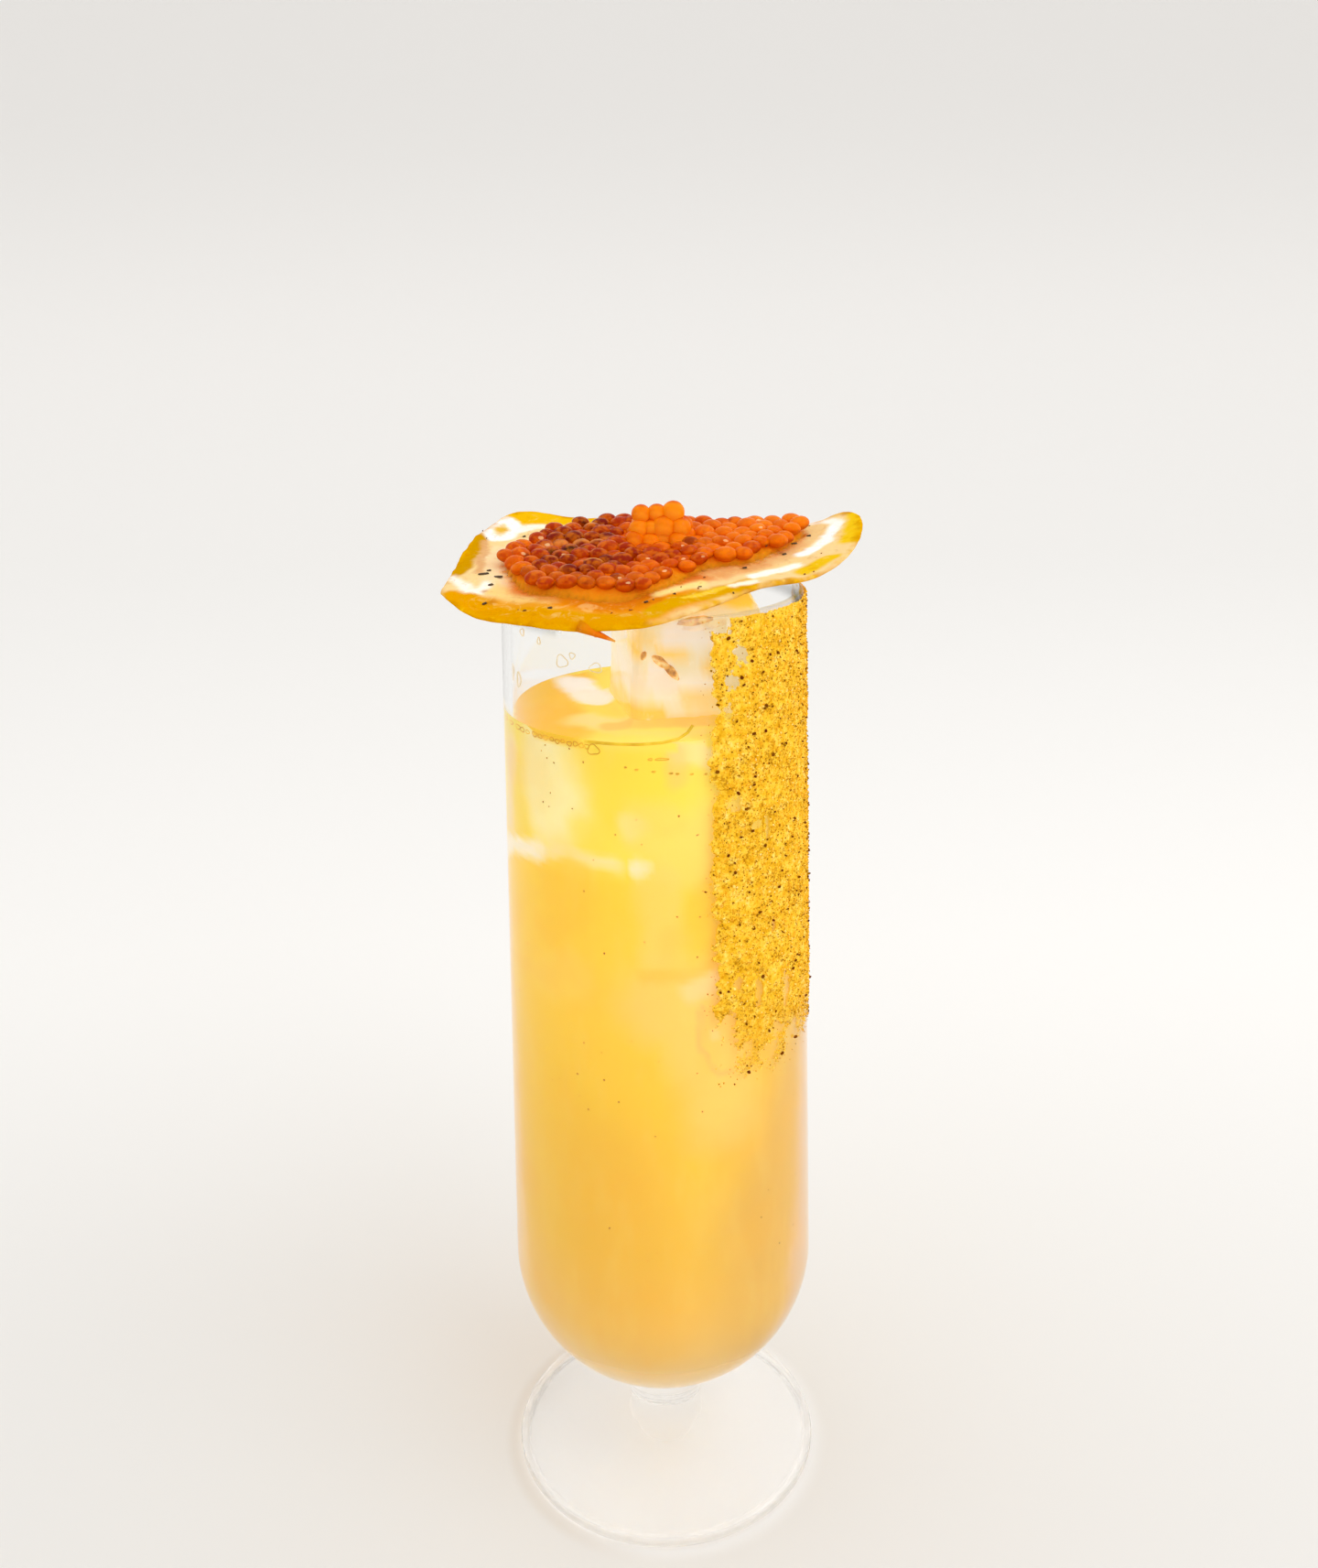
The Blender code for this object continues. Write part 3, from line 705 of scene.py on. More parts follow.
def clearIce():
    n = Nodes("clearIce")
    frost = n.spread(n.noise(7 * mm, 4.0, 0.6), 0.52, 0.72, 0.02, 0.22)
    dents = n.noise(5 * mm, 2.0)
    colour = n.blend(n.spread(n.noise(2.4 * mm, 4.0, 0.6), 0.55, 0.75, 0.0, 0.3), n.paint(), shade(255, 253, 250))
    n.letLampsThrough((0.95, 0.92, 0.86))
    # painted glow: the ice gives out light in its own colour
    return n.finish(
        Base_Color=colour, Roughness=frost, IOR=1.31, Specular_IOR_Level=0.2, Transmission_Weight=0.2,
        Subsurface_Weight=0.4, Subsurface_Radius=(1.0, 0.95, 0.85), Subsurface_Scale=2 * mm,
        Normal=n.bump(dents, 0.5 * mm, 0.35), Emission_Color=colour, Emission_Strength=0.28,
    )


def buildIce():
    s = iceShape
    startClean()
    bpy.ops.mesh.primitive_cube_add(size=1, location=(0, 0, (s["foot"] + s["frontTop"]) / 2))
    block = bpy.context.object
    block.dimensions = (s["width"], s["width"], s["frontTop"] - s["foot"])
    bpy.ops.object.transform_apply(location=True, rotation=False, scale=True)
    for vertex in block.data.vertices:  # the top slants up to the back
        if vertex.co.z > s["level"] and vertex.co.y > 0:
            vertex.co.z = s["backTop"]
    edges = block.modifiers.new("edges", "BEVEL")
    edges.width = s["edge"]
    edges.segments = 4
    edges.limit_method = "NONE"
    applyAll(block)
    pick(block)
    bpy.ops.object.mode_set(mode="EDIT")
    bpy.ops.mesh.select_all(action="SELECT")
    bpy.ops.mesh.subdivide(number_cuts=14)
    bpy.ops.object.mode_set(mode="OBJECT")
    grain = bpy.data.textures.new("meltHollows", "CLOUDS")
    grain.noise_scale = 9 * mm
    melt = block.modifiers.new("melt", "DISPLACE")
    melt.texture = grain
    melt.strength = s["melt"] * 2
    melt.mid_level = 0.62
    smooth = block.modifiers.new("smooth", "SMOOTH")
    smooth.iterations = 6
    applyAll(block)
    block.matrix_world = iceFrame()
    settle(block, "iceBlock", clearIce(), "clear_ice", "ice_block")
    brush(block, shade(238, 232, 198), iceLook, lambda points: points[:, [0, 2]], 1.0, 4)


# The dried flakes on the ice

flakeLook = {
    # place in mm, half length, half width, turn in the face in degrees
    "big": [
        ((1.4, -16.1, 208.3), 2.2, 0.85, 40), ((3.5, -15.7, 206.2), 2.3, 0.8, 50), ((8.4, -14.8, 216.0), 3.6, 0.85, -4),
        ((-1.9, -16.9, 209.8), 0.9, 0.55, -60),
    ],
    "depth": 0.8,
}


def driedFlake():
    n = Nodes("driedFlake")
    colour = n.ramp(n.noise(1.4 * mm, 4.0), [(0.32, shade(164, 104, 16)), (0.48, shade(212, 156, 54)), (0.64, shade(242, 208, 140))])
    # painted glow: the flakes give out light in their own colour
    return n.finish(
        Base_Color=colour, Roughness=0.6, Specular_IOR_Level=0.1, Normal=n.bump(n.noise(0.7 * mm, 3.0), 0.2 * mm, 0.6),
        Emission_Color=colour, Emission_Strength=0.5,
    )


def buildFlakes():
    startClean()
    bpy.ops.mesh.primitive_uv_sphere_add(segments=24, ring_count=12, radius=1)
    ball = bpy.context.object
    draw = random.Random(2)
    for vertex in ball.data.vertices:  # a leaf's lens with an uneven edge
        vertex.co *= 1 + 0.22 * noise.noise(vertex.co * 2.3)
    places = []
    for (x, y, z), halfLength, halfWidth, turn in flakeLook["big"]:
        lie = Matrix.Rotation(iceShape["turn"], 3, "Z") @ Matrix.Rotation(math.radians(turn), 3, "Y")
        size = (halfLength * mm, flakeLook["depth"] * mm, halfWidth * mm)
        places.append(placed(Vector((x, y, z)) * mm, lie, size))
    flakes = joinedCopies("driedFlakes", ball.data, places)
    bpy.data.objects.remove(ball)
    return settle(flakes, "driedFlakes", driedFlake(), "golden_spice", "ice_block")


# The crust of spice

crustShape = {
    "from": 20, "to": 99, "low": 122 * mm, "high": 219.5 * mm, "ragged": 1.8 * mm, "film": 0.4 * mm,
    "columns": 130, "rows": 250,
    # worn places: angle from the front, height, half angle, half height
    "bare": [
        (22, 219, 6, 2.4), (31.6, 212.6, 3.4, 2.4), (28.4, 207, 2.6, 1.8), (27, 201, 2, 2), (29, 182, 2.6, 1.5), (38, 177, 3, 1.0),
        (43.6, 175.5, 0.7, 3), (38.2, 140, 1.6, 4.5), (53.7, 136.5, 2.4, 6), (48, 130, 3.4, 1.8), (29.2, 143.4, 2, 2),
        (46.6, 153.6, 1.2, 4), (25.5, 134.3, 3.4, 3.6), (43, 125.4, 5, 1.4), (58, 125, 4, 3), (56, 160, 0.6, 4),
        (33, 128, 3, 1.6), (76, 180, 0.8, 3), (24, 126.5, 4.5, 5),
    ],
    # the big dark red flecks: angle and height
    "marked": [
        (26.8, 215.6), (46.5, 190.5), (21.9, 189.7), (40, 143.3), (50.3, 122.8), (33.1, 122.4), (32, 207.6),
        (43, 201), (37, 196), (30, 184.6), (33.4, 181), (36, 176), (42, 172), (39, 158), (36, 155), (60, 124),
    ],
}


def ragged(along, seed):
    return noise.noise(Vector((along * 3.1, seed, 0.5))) + 0.6 * noise.noise(Vector((along * 9.7, seed, 4.5)))


def crustPoint(u, v, proud):
    # u along the band's width, v up it
    c = crustShape
    low = c["low"] + c["ragged"] * ragged(u * 4, 7) + 3 * mm * max(0.0, u - 0.75) / 0.25
    height = low + (c["high"] - low - 0.6 * mm * abs(ragged(u * 6, 9))) * v
    edge = c["ragged"] / glassShape["belly"]
    start = math.radians(c["from"]) + edge * ragged(v * 8, 1)
    end = math.radians(c["to"]) + edge * ragged(v * 8, 3)
    angle = start + (end - start) * u
    radius = outerRadius(height) + proud
    return Vector((radius * math.sin(angle), -radius * math.cos(angle), height))


def crustDepth(u, v):
    # 0 where the glass is bare, 1 where the spice is thick
    c = crustShape
    here = crustPoint(u, v, 0)
    patch = noise.noise(here / (5 * mm)) * 0.5 + noise.noise(here / (1.8 * mm)) * 0.4
    depth = 0.86 + patch - 0.55 * max(0.0, 1 - v / 0.12) ** 1.5 - 0.2 * max(0.0, 1 - u * 7)
    angle = math.degrees(math.atan2(here.x, -here.y))
    for bareAngle, bareHeight, halfAngle, halfHeight in c["bare"]:
        away = math.hypot((angle - bareAngle) / halfAngle, (here.z / mm - bareHeight) / halfHeight)
        if away < 2:
            depth -= 0.9 * max(0.0, 1.5 - away + 0.7 * noise.noise(here / (0.9 * mm)))
    rim = min(u, 1 - u) * 36
    return max(0.0, min(1.0, depth)) * min(1.0, rim, v * 22 + 0.2)


def spiceGold():
    n = Nodes("spiceGold")
    tone = n.attribute("tone")
    colour = n.ramp(tone, [(0.0, shade(206, 140, 6)), (0.3, shade(236, 178, 26)), (0.7, shade(254, 206, 64)), (1.0, shade(255, 232, 146))])
    # painted glow: the grains give out light in their own colour
    return n.finish(
        Base_Color=colour, Roughness=0.8, Specular_IOR_Level=0.1, Subsurface_Weight=0.15, Subsurface_Radius=(1, 0.8, 0.4),
        Subsurface_Scale=0.4 * mm, Emission_Color=colour, Emission_Strength=0.12,
    )


def spiceDark():
    n = Nodes("spiceDark")
    tone = n.attribute("tone")
    colour = n.ramp(tone, [(0.0, shade(100, 28, 4)), (0.3, shade(136, 82, 4)), (0.6, shade(174, 124, 8)), (1.0, shade(216, 164, 20))])
    return n.finish(Base_Color=colour, Roughness=0.8, Specular_IOR_Level=0.05)


def spiceFilm():
    # golden with peppery specks, see-through where it is worn thin
    n = Nodes("spiceFilm")
    drift = n.noise(6 * mm, 3.0)
    colour = n.ramp(
        n.noise(2.2 * mm, 5.0, 0.7),
        [(0.34, shade(230, 168, 16)), (0.47, shade(248, 194, 44)), (0.58, shade(255, 210, 72)), (0.72, shade(255, 230, 130))],
    )
    sand = n.maths("ADD", n.noise(0.75 * mm, 3.0, 0.7), n.maths("MULTIPLY", drift, 0.25))
    colour = n.blend(n.spread(sand, 0.64, 0.76, 0.0, 0.7), colour, shade(214, 152, 10))
    pepper = n.maths("ADD", n.noise(0.9 * mm, 2.0, 0.6), n.maths("MULTIPLY", drift, 0.4))
    colour = n.blend(n.spread(pepper, 0.8, 0.86, 0.0, 0.75), colour, shade(184, 124, 8))
    worn = n.maths("ADD", n.attribute("depth"), n.maths("MULTIPLY", n.noise(0.7 * mm, 3.0, 0.6), 0.5))
    # painted glow: the film gives out light in its own colour
    return n.finish(
        Base_Color=colour, Roughness=0.75, Specular_IOR_Level=0.05,
        Normal=n.bump(n.noise(0.7 * mm, 4.0), 0.4 * mm, 0.7), Emission_Color=colour, Emission_Strength=0.14,
        Alpha=n.maths("MULTIPLY", n.spread(worn, 0.34, 0.56), n.spread(n.height(), 122 * mm, 142 * mm, 0.4, 1.0)),
    )


def buildFilm():
    c = crustShape
    startClean()
    bpy.ops.mesh.primitive_grid_add(x_subdivisions=c["columns"], y_subdivisions=c["rows"], size=1)
    film = bpy.context.object
    depths = []
    for vertex in film.data.vertices:
        u, v = vertex.co.x + 0.5, vertex.co.y + 0.5
        depths.append(crustDepth(u, v))
        vertex.co = crustPoint(u, v, 0.02 * mm + c["film"] * depths[-1])
    layer = film.data.attributes.new("depth", "FLOAT", "POINT")
    layer.data.foreach_set("value", np.array(depths, dtype=np.float32))
    keepOnly(film, [depth > 0.02 for depth in depths])
    settle(film, "spiceFilm", spiceFilm(), "golden_spice", "spice_crust")


def scatterSpice(name, count, sizes, lift, material, tones, draw, flat=0.7, marked=(), crowd=0.0):
    # grains lie thickest where the film does, the dark ones in drifts
    c = crustShape
    startClean()
    bpy.ops.mesh.primitive_ico_sphere_add(subdivisions=1, radius=1)
    seed = bpy.context.object
    pick(seed)
    bpy.ops.object.mode_set(mode="EDIT")
    bpy.ops.transform.vertex_random(offset=0.28, uniform=1.0, seed=3)
    bpy.ops.object.mode_set(mode="OBJECT")
    places = []
    spare = 0.12 if crowd else 0.01  # how many lie outside the film
    for angle, height in marked:
        radius = outerRadius(height * mm) + c["film"]
        where = Vector((radius * math.sin(math.radians(angle)), -radius * math.cos(math.radians(angle)), height * mm))
        places.append(placed(where, anyTurn(draw), (0.55 * mm, 0.4 * mm, 0.35 * mm)))
    while len(places) < count:
        u, v = draw.uniform(-0.04, 1.02), draw.uniform(-0.03, 1.0)
        depth = crustDepth(u, v)
        drift = 1 + crowd * 2 * noise.noise(crustPoint(u, v, 0) / (5 * mm))
        if draw.random() > (depth * 1.2 + spare if 0 < u < 1 and v > 0 else spare) * drift:
            continue
        size = draw.triangular(*sizes, sizes[0]) * mm
        where = crustPoint(u, v, c["film"] * depth + size * lift)
        places.append(placed(where, anyTurn(draw), (size, size * draw.uniform(0.6, 1), size * draw.uniform(0.5, 0.9) * flat)))
    piece = joinedCopies(name, seed.data, places)
    toneEach(piece, len(seed.data.vertices), [draw.triangular(*tones) for _ in places])
    bpy.data.objects.remove(seed)
    settle(piece, name, material, "golden_spice", "spice_crust")
    pick(piece)
    bpy.ops.object.shade_flat()


def buildCrust():
    buildFilm()
    draw = random.Random(8)
    gold, dark = spiceGold(), spiceDark()
    scatterSpice("spiceGrains", 7500, (0.12, 0.4), 0.3, gold, (0, 1, 0.6), draw)
    scatterSpice("spiceDust", 5600, (0.09, 0.22), 0.8, dark, (0.6, 1, 0.9), draw, crowd=0.7)
    scatterSpice("brownSpice", 900, (0.14, 0.36), 0.8, dark, (0.2, 0.9, 0.55), draw, crowd=0.9)
    scatterSpice("chilliFlecks", 130, (0.24, 0.5), 0.8, dark, (0, 0.3, 0.1), draw, 1.0, crustShape["marked"], 0.8)


# The crisp

crispLook = {
    "bead": 0.4 * mm, "brown": shade(96, 44, 10), "tip": Vector((-41.2, -20.8, 223.0)) * mm,
    "edgeYellow": shade(226, 164, 0), "edgeOlive": shade(206, 138, 0), "edgeLight": shade(244, 194, 20),
    # painted strokes in plan
    "strokes": [
        ([(-31, -27), (-22, -28), (-12, -29.5), (-2, -30), (6, -24)], 3.4, 3, 0.95, shade(230, 150, 6)),
        ([(-17, -25), (-4, -27), (3, -22)], 2, 3, 0.9, shade(230, 136, 8)),
        ([(-31, 2), (-29.5, -14)], 2.4, 2.5, 0.9, shade(246, 218, 168)),
        ([(-31.4, -17), (-26.8, -22), (-19.3, -25)], 1.2, 2, 0.8, shade(246, 206, 124)),
        ([(-29, 8), (-24, 12)], 2, 3, 0.8, shade(244, 214, 150)),
        ([(-22, -16), (-6, -20), (2, -14), (18, -4), (26, 4)], 4, 4, 0.9, shade(226, 112, 10)),
        ([(-20, -24), (-8, -26.6), (0, -25)], 0.8, 3, 0.7, shade(214, 116, 8)),
        ([(24, -3), (31, 5), (35, 12)], 2.4, 3, 0.7, shade(236, 196, 132)),
        ([(12, -11), (20, -7)], 1.6, 2.4, 0.7, shade(230, 174, 108)),
        # the yellow border where it is wide
        ([(-40, -9.6), (-38.9, -4), (-38.2, 3), (-36.8, 11)], 2.9, 1.1, 1.0, shade(204, 146, 0)),
        ([(-36.5, -23.1), (-31, -28.6), (-23.9, -31.5), (-16.6, -33.5)], 2.8, 1.4, 1.0, shade(226, 154, 0)),
        ([(-28, 23), (-20, 24), (-13, 23)], 3.4, 1.4, 1.0, shade(238, 182, 10)),
        ([(-30, -31), (-18, -33.5), (-4, -34.5)], 2.6, 1.6, 1.0, shade(222, 152, 0)),
        ([(0, -31), (5, -26.4), (12, -21.4), (19, -17)], 1.3, 1.4, 1.0, shade(218, 158, 0)),
        ([(6, -25), (12, -20.4), (20, -15.6)], 0.3, 0.7, 0.8, shade(244, 204, 54)),
        ([(42, 2), (45, 12), (45, 20)], 2.6, 1.6, 1.0, shade(240, 196, 24)),
        ([(30, -11.4), (36, -7)], 1.2, 1.2, 1.0, shade(236, 190, 24)),
        ([(-34.4, 7), (-34.2, -4), (-34.2, -10)], 0.5, 0.9, 0.9, shade(222, 166, 110)),
        ([(38.6, 19), (42, 22)], 0.9, 1.2, 0.8, shade(206, 160, 76)),
        # white swirls: painted highlights of the glossy crisp
        ([(-35.3, 16), (-33.1, 20), (-31, 20.5), (-28.6, 15.6), (-30.7, 11.1), (-33.1, 9.5), (-35, 13), (-35.3, 16)], 0.9, 1.2, 1.0, shade(255, 253, 246)),
        ([(-27.4, 16.4), (-24, 18.4)], 0.7, 1.4, 0.9, shade(255, 250, 236)),
        ([(-32.2, 15.6)], 0.7, 1.0, 0.9, shade(226, 176, 40)),
        ([(-39.6, -12.4), (-37.6, -15.4), (-35.4, -19.4), (-33.2, -19.6), (-32, -16)], 0.5, 1.5, 0.95, shade(255, 248, 234)),
        ([(19.7, -13.6), (24, -10.8), (28.8, -7.6)], 0.7, 0.9, 1.0, shade(255, 252, 236)),
        ([(30.6, -2), (33.8, 1), (37.2, 7), (39, 12)], 0.9, 1.1, 1.0, shade(255, 254, 248)),
        ([(20.6, -3.4), (21.8, 2), (25.2, 4.2), (28.6, 4.6)], 0.3, 0.8, 0.9, shade(255, 242, 206)),
        ([(33, 16), (37, 16.6), (39.6, 12.6)], 0.8, 1.1, 0.9, shade(252, 246, 236)),
        ([(15.5, -18.3), (20, -16.2)], 0.4, 1.0, 0.8, shade(255, 250, 236)),
        ([(1.7, -22.4), (4.9, -19.4), (9.3, -16.6)], 0.7, 2, 0.95, shade(254, 226, 140)),
        # small brown marks
        ([(26.5, -0.5)], 0.3, 0.7, 0.9, shade(140, 74, 30)), ([(31.1, 8.2), (32, 8.8)], 0.3, 0.6, 0.9, shade(176, 60, 20)),
        ([(10.1, -10.7)], 0.3, 0.8, 0.8, shade(150, 84, 30)), ([(18, -9)], 0.25, 0.7, 0.8, shade(150, 84, 30)),
        ([(-32, -19)], 0.2, 0.8, 0.8, shade(190, 116, 30)), ([(-30.6, -24)], 0.3, 1.4, 0.7, shade(198, 120, 24)),
        ([(0.3, -18.6)], 0.4, 0.8, 0.8, shade(170, 80, 10)), ([(-1, -26.4)], 0.3, 0.6, 0.8, shade(176, 90, 10)),
    ],
}


def goldenCrisp():
    c = crispLook
    n = Nodes("goldenCrisp")
    border = n.attribute("border")
    shift = n.maths("MULTIPLY", n.maths("SUBTRACT", n.noise(7 * mm, 3.0), 0.5), 0.3)
    rim = n.spread(n.maths("ADD", border, shift), 0.2, 0.32, 1.0, 0.0)
    edge = n.blend(n.spread(n.noise(3.4 * mm, 4.0), 0.42, 0.62), c["edgeYellow"], c["edgeOlive"])
    edge = n.blend(n.spread(n.noise(1.8 * mm, 3.0), 0.6, 0.7, 0.0, 0.7), edge, c["edgeLight"])
    colour = n.blend(n.maths("MULTIPLY", rim, n.spread(n.noise(4 * mm), 0.3, 0.5, 0.5, 1.0)), n.paint(), edge)
    marble = n.noise(2.6 * mm, 5.0, 0.6, warp=1.2)
    inner = n.spread(border, 0.3, 0.5)
    colour = n.blend(n.maths("MULTIPLY", n.spread(marble, 0.52, 0.7, 0.0, 0.3), inner), colour, shade(255, 226, 150))
    colour = n.blend(n.spread(marble, 0.3, 0.44, 0.3, 0.0), colour, shade(196, 116, 4))
    outline = n.spread(border, 0.01, 0.07, 0.5, 0.0)
    colour = n.blend(outline, colour, shade(150, 104, 4))
    stain = n.spread(n.noise(1.5 * mm, 5.0, 0.7, warp=0.8), 0.7, 0.76, 0.0, 0.6)
    colour = n.blend(stain, colour, shade(150, 90, 14))
    relief = n.maths("ADD", n.noise(3 * mm, 4.0), n.maths("MULTIPLY", marble, 0.3))
    n.letLampsThrough((0.6, 0.42, 0.16))
    # painted glow: the crisp gives out light in its own colour
    return n.finish(
        Base_Color=colour, Roughness=0.3, Specular_IOR_Level=0.0, Subsurface_Weight=0.15,
        Subsurface_Radius=(1.0, 0.5, 0.15), Subsurface_Scale=0.6 * mm, Normal=n.bump(relief, 0.6 * mm, 0.5),
        Emission_Color=colour, Emission_Strength=0.08,
    )


def buildCrisp():
    c = crispLook
    sheet = looseCopy("crisp")
    # the edges of the side wall stand upright
    rimPoints = []
    for edge in sheet.data.edges:
        a, b = (sheet.data.vertices[i].co for i in edge.vertices)
        if abs(a.x - b.x) < 0.02 * mm and abs(a.y - b.y) < 0.02 * mm:
            rimPoints.append((a + b) / 2)
    fine = sheet.modifiers.new("fine", "SUBSURF")
    fine.levels = fine.render_levels = 3
    applyAll(sheet)
    tree = KDTree(len(rimPoints))
    for k, point in enumerate(rimPoints):
        tree.insert(point, k)
    tree.balance()
    count = len(sheet.data.vertices)
    points = np.empty(count * 3, dtype=np.float32)
    normals = np.empty(count * 3, dtype=np.float32)
    sheet.data.vertices.foreach_get("co", points)
    sheet.data.vertex_normals.foreach_get("vector", normals)
    points, normals = points.reshape(-1, 3), normals.reshape(-1, 3)
    border = []
    for k in range(count):
        point = Vector(points[k])
        away = sum(found[2] for found in tree.find_n(point, 2)) / 2
        border.append(away / (10 * mm))
        near = math.hypot(point.x - c["tip"].x, point.y - c["tip"].y)
        if near < 9 * mm:  # drawn out to a sharp corner
            points[k] += (np.array(c["tip"]) - points[k]) * 0.42 * (1 - near / (9 * mm)) ** 2
        if normals[k][2] > -0.2:
            near = math.exp(-(away / (1.6 * mm)) ** 2)
            lump = noise.noise(point / (2.6 * mm))
            wave = noise.noise(point / (6 * mm)) * 0.25 * mm + noise.noise(point / (2.2 * mm)) * 0.1 * mm
            points[k] += normals[k] * (c["bead"] * near * (1 + 0.7 * lump) + wave)
    sheet.data.vertices.foreach_set("co", points.ravel())
    sheet.data.update()
    layer = sheet.data.attributes.new("border", "FLOAT", "POINT")
    layer.data.foreach_set("value", np.array(border, dtype=np.float32))
    settle(sheet, "crispSheet", goldenCrisp(), "golden_crisp", "crisp")
    brush(sheet, shade(242, 208, 144), c["strokes"], inPlan, 0.7, 3.5)

    # the splinter that hangs from the front edge
    startClean()
    bpy.ops.mesh.primitive_cone_add(vertices=14, radius1=2.1 * mm, radius2=0.3 * mm, depth=7.4 * mm)
    splinter = bpy.context.object
    pick(splinter)
    bpy.ops.object.mode_set(mode="EDIT")
    bpy.ops.mesh.subdivide(number_cuts=3)
    bpy.ops.mesh.select_all(action="SELECT")
    bpy.ops.transform.resize(value=(1, 0.5, 1))
    bpy.ops.object.mode_set(mode="OBJECT")
    splinter.matrix_world = Matrix.Translation(Vector((-10.2, -34.8, 218.5)) * mm) @ Vector((0.9, -0.1, -0.38)).to_track_quat("Z", "Y").to_matrix().to_4x4()
    settle(splinter, "crispSplinter", goldenCrisp(), "golden_crisp", "crisp")
    brush(splinter, shade(226, 108, 14), [([(-14, -34)], 1, 4, 0.8, shade(214, 140, 8)), ([(-6.4, -35)], 0.3, 1, 0.8, shade(240, 190, 90))], inPlan)
    toneEach(splinter, 1, [0.5] * len(splinter.data.vertices), "border")
    return sheet


# The roe

roeShape = {
    "bed": [
        (-29, -5), (-25, -18), (-19, -23), (-11, -24.5), (-4, -23.5), (3.5, -18), (10.5, -9.5), (19, -6.5),
        (27.5, 2), (31.5, 9), (30, 14), (20, 13), (10, 15), (-2, 16), (-11, 15.5), (-21, 10),
    ],
    "egg": 2.05 * mm, "spacing": 3.65 * mm, "heap": Vector((1.4, 4.5)) * mm, "reach": 7.4 * mm, "depth": 0.8,
    "glaze": 2.2 * mm, "bleed": 2.6 * mm,
    # layers of the heap: eggs across, eggs deep, rise, size
    "layers": ((4, 3, 1.9, 1.1), (4, 2, 4.4, 1.12), (3, 1, 6.9, 1.12)), "heapStep": 2.9 * mm,
    "tones": [shade(112, 16, 0), shade(162, 40, 0), shade(204, 80, 0), shade(228, 114, 0), shade(246, 144, 10)],
    # char, pale streaks and light in the juice, in plan; the pale streaks are painted highlights
    "strokes": [
        ([(8, 2), (26, 9)], 3, 5, 0.5, shade(236, 128, 20)),
        ([(-24, -17), (-10, -23), (2, -19)], 0.6, 2.4, 0.35, shade(228, 120, 10)),
        ([(-22, -2.6), (-16, -0.6), (-9, 0.8), (-5, 2)], 0.2, 0.9, 0.6, shade(230, 146, 74)),
        ([(-14.5, 9.4), (-9, 10)], 0.2, 0.9, 0.5, shade(230, 140, 70)),
        ([(-12.4, -12), (-10.4, -12.4)], 0.5, 1.2, 0.8, shade(250, 170, 30)),
        ([(-20, -5.4), (-17, -4.9), (-13.6, -5)], 0.3, 1.0, 0.95, shade(58, 20, 6)),
        ([(-24.3, -8.2)], 0.4, 0.9, 0.9, shade(70, 20, 6)), ([(-21, -8.8), (-19, -8)], 0.2, 1.2, 0.7, shade(90, 40, 8)),
        ([(-14.4, 11.6), (-12, 11)], 0.2, 0.8, 0.9, shade(74, 26, 8)), ([(-3.5, -2.8)], 0.5, 0.8, 0.9, shade(80, 22, 6)),
        ([(3.5, 0.6), (7.5, -0.4)], 0.9, 1.4, 0.8, shade(124, 32, 2)),
    ],
}


def roeOrange():
    # painted light and shade: deep inside, with a painted rim of light along the far edge of every egg
    n = Nodes("roeOrange")
    colour = n.blend(n.spread(n.noise(1.5 * mm, 3.0), 0.4, 0.65, 0.0, 0.35), n.paint(), shade(255, 140, 14))
    heaped = n.attribute("heaped")
    bedded = n.maths("SUBTRACT", 1.0, heaped)
    through = n.spread(n.facing((0.1, 0.5, 0.87)), 0.88, 0.985, 0.0, 0.85)
    colour = n.blend(n.maths("MULTIPLY", through, bedded), colour, shade(252, 132, 20))
    # painted shade on the sides and undersides of the eggs in the bed
    under = n.spread(n.facing((0.0, -0.3, 0.95)), -0.3, 0.45, 0.5, 0.0)
    colour = n.blend(n.maths("MULTIPLY", under, bedded), colour, shade(120, 22, 0))
    # in the heap, painted light low in every egg, and painted shade that makes the tops deeper
    cap = n.maths("MULTIPLY", n.spread(n.facing((0.1, 0.25, 0.96)), 0.5, 0.95, 0.0, 0.7), heaped)
    colour = n.blend(cap, colour, shade(196, 56, 0))
    belly = n.maths("MULTIPLY", n.spread(n.facing((-0.1, -0.85, -0.5)), 0.45, 0.98, 0.0, 0.8), heaped)
    colour = n.blend(belly, colour, shade(255, 168, 40))
    # painted light on the lower front of every egg
    lip = n.spread(n.facing((-0.2, -0.8, -0.5)), 0.55, 0.95, 0.0, 0.3)
    colour = n.blend(lip, colour, shade(250, 118, 4))
    # painted glints on some of the eggs
    some = n.spread(n.attribute("tone"), 0.9, 0.92, 0.0, 0.45)
    patch = n.maths("ADD", n.facing((0.32, -0.72, 0.62)), n.maths("MULTIPLY", n.noise(0.9 * mm, 2.0), 0.06))
    glint = n.maths("MULTIPLY", n.spread(patch, 1.0, 1.015), some)
    colour = n.blend(glint, colour, shade(255, 226, 170))
    n.letLampsThrough((0.8, 0.3, 0.06))
    # painted glow: the eggs give out light in their own colour
    return n.finish(
        Base_Color=colour, Roughness=0.08, IOR=1.37, Specular_IOR_Level=0.1, Subsurface_Weight=0.4,
        Subsurface_Radius=(1.0, 0.2, 0.02), Subsurface_Scale=0.8 * mm,
        Emission_Color=colour, Emission_Strength=0.1,
    )


